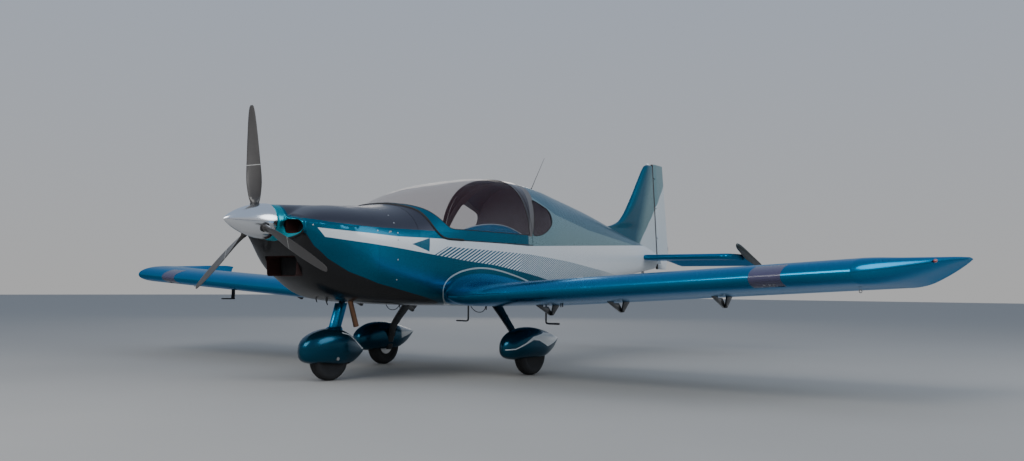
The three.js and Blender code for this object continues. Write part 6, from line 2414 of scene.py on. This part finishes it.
@dataclass
class Cockpit(Assembly):
    """Instrument panel, seats, sticks and trim, seen through the glass."""

    seat_x: float = 250.0
    crown: float = 9.0
    dial_rows: Sequence[Point] = ((-250, 1180, 38), (-160, 1180, 38), (-250, 1090, 38), (-160, 1090, 38),
                                  (170, 1090, 30), (245, 1090, 30), (170, 1170, 22), (230, 1170, 22))

    def build(self) -> None:
        """Makes every piece of the cockpit."""
        for side in Side:
            self.seat(side)
            self.belts(side)
            self.stick(side)
        self.panel()
        self.trim()

    def cushion(self, name: str, low: Point, high: Point, turn: float) -> None:
        """Makes a padded cushion: a crowned block whose sides pull in, blown up by simulation.

        Args:
            name: Name of the piece.
            low: Lowest corner before turning.
            high: Highest corner before turning.
            turn: Angle in degrees about the cross axis through its low front edge.
        """
        centre = (np.array(low) + high) / 2
        half = (np.array(high) - low) / 2
        rings = []
        for part in np.linspace(-1, 1, 13):
            swell = (1 - abs(part) ** 3.5) ** 0.35 if abs(part) < 1 else 0.0
            outline = rounded_box(half[0] * (0.86 + 0.14 * swell), half[1] * (0.86 + 0.14 * swell),
                                  min(half[0], half[1]) * 0.42, 5)
            rings.append([(centre[0] + a, centre[1] + b, centre[2] + half[2] * part) for a, b in outline])
        shape = Shape().loft(rings)
        hinge = Vector((0, low[1], low[2]))
        spin = Matrix.Rotation(math.radians(turn), 3, "X")
        shape.points = [tuple(spin @ (Vector(p) - hinge) + hinge) for p in shape.points]
        piece = self.put(name, [self.palette.leather], "seat_leather", shape)
        inflate(piece, self.crown)

    def seat(self, side: Side) -> None:
        """Makes one seat: its shell and two cushions.

        Args:
            side: Side of the seat.
        """
        x = self.seat_x * side.value
        outline = [(-330, 690), (150, 664), (338, 1176), (385, 1180), (240, 660), (190, 640), (-330, 640)]
        self.put(f"seat_shell_{side.word}", [self.palette.black], "black_plastic",
                 Shape().prism(outline, x - 190, x + 190), f"seat_{side.word}", rounding=14)
        self.cushion(f"seat_pad_{side.word}", (x - 176, -318, 694), (x + 176, 120, 738), -3.1)
        self.cushion(f"seat_back_{side.word}", (x - 168, 122, 700), (x + 168, 162, 1160), -20.0)

    def belts(self, side: Side) -> None:
        """Makes the shoulder and lap straps of one seat with their buckle.

        Args:
            side: Side of the seat.
        """
        x = self.seat_x * side.value
        straps = Shape()
        for offset in (-62, 62):
            route = smooth_line([(x + offset * 0.5, 372, 1172), (x + offset * 0.6, 322, 1186),
                                 (x + offset, 268, 1080), (x + offset, 170, 860), (x + offset * 0.5, 80, 768),
                                 (x + offset * 0.15, -20, 760)], 40)
            lap = smooth_line([(x + offset * 2.9, 120, 700), (x + offset * 2.4, 80, 746), (x + offset, -6, 764),
                               (x + offset * 0.2, -30, 764)], 24)
            for line in (route, lap):
                rows = [[(px - 22, py, pz), (px, py, pz + 1.5), (px + 22, py, pz)] if line is route else
                        [(px, py - 20, pz), (px, py, pz + 1.5), (px, py + 20, pz)] for px, py, pz in line]
                straps.grid(rows)
        self.put(f"belts_{side.word}", [self.palette.belt], "seat_leather", straps, wall=1.6)
        buckle = Shape().turned([(-5, 24), (-2, 30), (6, 30), (9, 24), (10, 10)], (x, -26, 768), (0, 0, 1), 32)
        self.put(f"belt_buckle_{side.word}", [self.palette.steel], "steel", buckle)

    def stick(self, side: Side) -> None:
        """Makes a control stick with its boot and grip.

        Args:
            side: Side of the stick.
        """
        x = self.seat_x * side.value
        bar = Shape().tube([(x, -420, 598), (x, -404, 740), (x, -384, 930)], [11, 10, 9], 18)
        grip = smooth_line([(x, -394, 838), (x, -388, 880), (x, -382, 925), (x, -377, 952)], 16)
        bar.tube(grip, np.interp(np.linspace(0, 1, 16), [0, 0.15, 0.5, 0.85, 1], [13, 17, 15.5, 18, 11]), 20)
        boot = [(0, 46), (8, 44), (16, 36), (20, 38), (28, 28), (32, 30), (40, 20), (46, 14), (60, 11)]
        bar.turned(boot, (x, -420, 580), (0, 0.1, 1), 28)
        self.put(f"control_stick_{side.word}", [self.palette.black], "black_plastic", bar, f"stick_{side.word}")

    def panel(self) -> None:
        """Makes the panel with its hood, blank screen, dials and switches."""
        outline = [(-985, 1296), (-860, 1290), (-712, 1266), (-700, 1256), (-702, 1240), (-720, 1020), (-735, 1020),
                   (-738, 1225), (-985, 1266)]
        self.put("panel_shell", [self.palette.cabin], "black_plastic", Shape().prism(outline, -338, 338),
                 "instrument_panel", rounding=5)
        face = lambda z: -700 - 20 * (1240 - z) / 220
        dials, glasses, dots = Shape(), Shape(), Shape()
        for x, z, radius in self.dial_rows:
            y = face(z)
            dials.turned([(-3, radius + 4), (2, radius + 4), (3.5, radius + 1), (2, radius - 2), (1.2, radius - 3)],
                         (x, y, z), (0, 1, -0.09), 32)
            glasses.turned([(0, radius - 3), (1.6, radius - 4), (1.8, 2)], (x, y, z), (0, 1, -0.09), 32)
        dials.block((-100, face(1150) - 4, 1065), (110, face(1150) + 6, 1215))
        glasses.block((-88, face(1150) + 4, 1076), (98, face(1150) + 7.5, 1204))
        for number in range(8):
            x = -88 + number * 26
            dots.turned([(-2, 6), (3, 6), (5, 3), (13, 2.5), (14, 1.5)], (x, face(1044), 1044), (0, 1, 0.2), 14)
        self.put("panel_bezels", [self.palette.black], "black_plastic", dials, rounding=1.5)
        self.put("panel_glasses", [self.palette.screen], "black_plastic", glasses, rounding=1)
        self.put("panel_switches", [self.palette.steel], "steel", dots)
        dome = [(0, 44), (14, 44), (26, 42), (38, 36), (46, 26), (51, 14), (52, 2)]
        self.put("glareshield_dome", [self.palette.black], "black_plastic",
                 Shape().turned(dome, (-30, -842, 1284), (0, 0, 1), 40))

    def trim(self) -> None:
        """Makes the rear bulkhead, the parcel shelf, the floor and the pedals."""
        half = BODY.outline(870, 12)
        ring = np.vstack([half, (half * (-1, 1))[::-1][1:-1]])
        ring = ring[ring[:, 1] > 760]
        self.put("rear_bulkhead", [self.palette.cabin], "black_plastic", Shape().prism(ring[::6], 868, 874, Axis.Y))
        rows = [[(x, y, 1010 + 6 * math.cos(x / 90)) for x in np.linspace(-1, 1, 15) * (BODY.half_width(y, 1010) - 12)]
                for y in steps(470, 864, 40)]
        self.put("parcel_shelf", [self.palette.leather], "black_plastic", Shape().grid(rows), wall=6,
                 outward=(0, 600, 900))
        rows = [[(x, y, 624) for x in np.linspace(-1, 1, 9) * (BODY.half_width(y, 624) - 14)]
                for y in steps(-1300, -330, 60)]
        self.put("cabin_floor", [self.palette.cabin], "black_plastic", Shape().grid(rows), wall=6,
                 outward=(0, -800, 500))
        pedals = Shape()
        for side in Side:
            for offset in (-75, 75):
                x = self.seat_x * side.value + offset
                pedals.block((x - 32, -1130, 700), (x + 32, -1120, 800))
                pedals.tube([(x, -1126, 632), (x, -1126, 720)], 8, 12)
        self.put("rudder_pedals", [self.palette.steel], "steel", pedals, rounding=3)


@dataclass
class Fittings(Assembly):
    """Antenna, pitot tube, steps, exhaust pipe, drains and tie-down points."""

    def build(self) -> None:
        """Makes the small outside pieces."""
        whip = Shape().tube([(0, 1139, 1652), (0, 1268, 1848), (0, 1398, 2042)], [4, 2.6, 1.5], 12)
        whip.tube([(0, 1134, 1646), (0, 1150, 1672), (0, 1180, 1716)], [13, 9, 5], 16)
        self.put("antenna_whip", [self.palette.black], "steel", whip, "antenna")
        self.pitot()
        for side in Side:
            route = smooth_line([(470, 781, 690), (470, 781, 560), (470, 781, 424), (474, 781, 403), (492, 781, 396),
                                 (560, 781, 396), (620, 781, 396)], 48)
            step = Shape().tube(route, 8.8, 18)
            step.turned([(0, 9.6), (50, 9.6), (52, 8.8)], (566, 781, 396), (1, 0, 0), 18)
            self.put(f"boarding_step_{side.word}", [self.palette.leg], "black_paint", step.on(side),
                     f"step_{side.word}")
        self.exhaust()
        self.drains()

    def pitot(self) -> None:
        """Makes the faired mast under the starboard wing and its tube."""
        half = smooth_line([(-522, 1), (-512, 6.5), (-495, 6.8), (-478, 1)], 16)
        outline = np.vstack([half, half[::-1][1:-1] * (1, -1)])
        rings = [[(-2490 + b, y - lean, z) for y, b in outline] for z, lean in ((690, 0), (640, 0), (588, 4))]
        tube = Shape().loft(rings)
        tube.turned([(0, 3.5), (2, 5), (14, 6.4), (150, 6.8), (160, 6)], (-2490, -640, 592), (0, 1, 0), 20)
        self.put("pitot_tube", [self.palette.black], "black_paint", tube, "pitot")

    def exhaust(self) -> None:
        """Makes the stack with its bead and open end."""
        start, end = np.array((100, -1346, 640.0)), np.array((100, -1268, 414.0))
        line = [start + (end - start) * part for part in (0, 0.3, 0.6, 0.9, 0.985, 1)]
        stack = Shape().tube(line, [20, 20, 20.5, 21, 22, 21.6], 32, ends=False)
        stack.tube(line[::-1], [19.4, 19, 18.5, 18, 18, 18], 32, ends=False)
        self.put("exhaust_stack", [self.palette.exhaust], "exhaust_metal", stack, "exhaust")

    def drains(self) -> None:
        """Makes the drain pipes under the nose and the tie-down eyes."""
        pipes = Shape()
        for x, y, drop, lean in ((60, -1548, 50, 16), (20, -1500, 26, -8), (-40, -1560, 34, 10)):
            keel = BODY.values([y])[0][1]
            pipes.tube([(x, y, keel + 14), (x, y, keel - drop * 0.4), (x, y + lean, keel - drop)], 4.2, 12)
        self.put("drain_pipes", [self.palette.black], "steel", pipes)
        hoses = Shape()
        for side in Side:
            hose = Shape().tube(smooth_line([(492, -345, 612), (495, -339, 566), (504, -290, 526), (510, -245, 517),
                                             (508, -196, 524), (507, -162, 556), (507, -159, 610)], 36), 3.2, 10)
            hose.tube([(507, -150, 612), (507, -152, 534)], [6, 4.5], 14)
            hoses.join(hose.on(side))
        self.put("belly_hoses", [self.palette.black], "black_plastic", hoses)
        eyes = Shape()
        ring = [(3650 + 9 * math.cos(a), -150, 719 + 9 * math.sin(a)) for a in np.linspace(0, 2 * math.pi, 20)[:-1]]
        eyes.tube(ring, 2.6, 10, closed=True)
        eyes.turned([(0, 11), (5, 11), (6, 9)], (3650, -150, 727), (0, 0, 1), 24)
        eyes.join(eyes.mirrored())
        self.put("tie_down_eyes", [self.palette.steel], "steel", eyes)


@dataclass
class Studio:
    """Camera, lights and floor."""

    camera_place: Point = (5.695, -7.3805, 0.725)
    yaw: float = math.radians(37.352)
    pitch: float = math.radians(3.374)
    roll: float = math.radians(0.469)
    lens: float = 34.114
    sensor: float = 36.0
    far: float = 200.0
    reach: float = 60.0
    horizon: Colour = (0.74, 0.74, 0.74)
    zenith: Colour = (0.58, 0.70, 0.90)
    sky_strength: float = 0.62
    aim: Point = (0.0, 0.0, 0.9)

    def build(self) -> None:
        """Makes the camera, the floor and the soft lights."""
        forward = Vector((-math.sin(self.yaw) * math.cos(self.pitch), math.cos(self.yaw) * math.cos(self.pitch),
                          math.sin(self.pitch)))
        level = Vector((math.cos(self.yaw), math.sin(self.yaw), 0))
        above = level.cross(forward)
        right = level * math.cos(self.roll) + above * math.sin(self.roll)
        up = -level * math.sin(self.roll) + above * math.cos(self.roll)
        data = bpy.data.cameras.new("camera")
        data.lens = self.lens
        data.sensor_width = self.sensor
        data.clip_end = self.far
        camera = bpy.data.objects.new("camera", data)
        turn = Matrix((right, up, -forward)).transposed().to_4x4()
        camera.matrix_world = Matrix.Translation(self.camera_place) @ turn
        bpy.context.scene.collection.objects.link(camera)
        bpy.context.scene.camera = camera
        self.floor()
        self.lights()

    def floor(self) -> None:
        """Makes the plain pale floor."""
        mesh = bpy.data.meshes.new("floor")
        corners = [(-1, -1), (1, -1), (1, 1), (-1, 1)]
        mesh.from_pydata([(x * self.reach, y * self.reach, 0) for x, y in corners], [], [(0, 1, 2, 3)])
        floor = bpy.data.objects.new("floor", mesh)
        bpy.context.scene.collection.objects.link(floor)
        floor.data.materials.append(Plain("floor_paint", (0.38, 0.37, 0.35), 0.85, 0.0, 40, 0.0, 0.04).make())

    def lights(self) -> None:
        """Makes the soft sky and three large lamps."""
        world = bpy.data.worlds.new("studio")
        bpy.context.scene.world = world
        world.use_nodes = True
        tree = world.node_tree
        back = tree.nodes["Background"]
        split = tree.nodes.new("ShaderNodeSeparateXYZ")
        tree.links.new(tree.nodes.new("ShaderNodeTexCoord").outputs["Generated"], split.inputs[0])
        rise = (Field(tree, split.outputs[2]) * 2.2).join("MULTIPLY", 1.0, clamp=True)
        blend = tree.nodes.new("ShaderNodeMix")
        blend.data_type = "RGBA"
        tree.links.new(rise.socket, blend.inputs[0])
        blend.inputs[6].default_value = (*self.horizon, 1)
        blend.inputs[7].default_value = (*self.zenith, 1)
        tree.links.new(blend.outputs[2], back.inputs[0])
        back.inputs[1].default_value = self.sky_strength
        for name, place, size, power, tint in (
                ("key_light", (1.0, -9.0, 7.0), 7.0, 600, (1.0, 0.98, 0.95)),
                ("fill_light", (9.5, 2.0, 5.0), 6.0, 300, (0.90, 0.95, 1.0)),
                ("rear_light", (-9.0, 10.0, 5.0), 5.0, 120, (1.0, 0.93, 0.84))):
            lamp = bpy.data.lights.new(name, "AREA")
            lamp.shape = "DISK"
            lamp.size = size
            lamp.energy = power
            lamp.color = tint
            thing = bpy.data.objects.new(name, lamp)
            thing.location = place
            thing.rotation_euler = (Vector(self.aim) - Vector(place)).to_track_quat("-Z", "Y").to_euler()
            bpy.context.scene.collection.objects.link(thing)


def dress_solids(frame: dict, palette: Palette) -> None:
    """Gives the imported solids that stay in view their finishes.

    Args:
        palette: Finishes.
    """
    looks = {
        "engine": palette.engine, "firewall": palette.steel, "nose_leg_socket": palette.steel,
        "main_axle_port": palette.steel, "main_axle_starboard": palette.steel, "nose_axle": palette.steel,
        "propeller_hub": palette.steel, "seat_base": palette.cabin, "radiator": palette.radiator,
        "panel_stand": palette.black,
    }
    for name, look in looks.items():
        solid = frame["nodes"][name]
        solid.data.materials.clear()
        solid.data.materials.append(look)


def main() -> None:
    """Builds the aircraft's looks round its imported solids."""
    logging.basicConfig(level=logging.INFO, format="%(name)s: %(message)s")
    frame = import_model()
    palette = Palette()
    Studio().build()
    Cowling(palette).build()
    Cabin(palette).build()
    RearBody(palette).build()
    for side in Side:
        Wing(palette, side=side).build()
        MainGear(palette, side=side).build()
    Tail(palette).build()
    Propeller(palette).build()
    NoseGear(palette).build()
    Cockpit(palette).build()
    Fittings(palette).build()
    dress_solids(frame, palette)


if __name__ == "__main__":
    main()
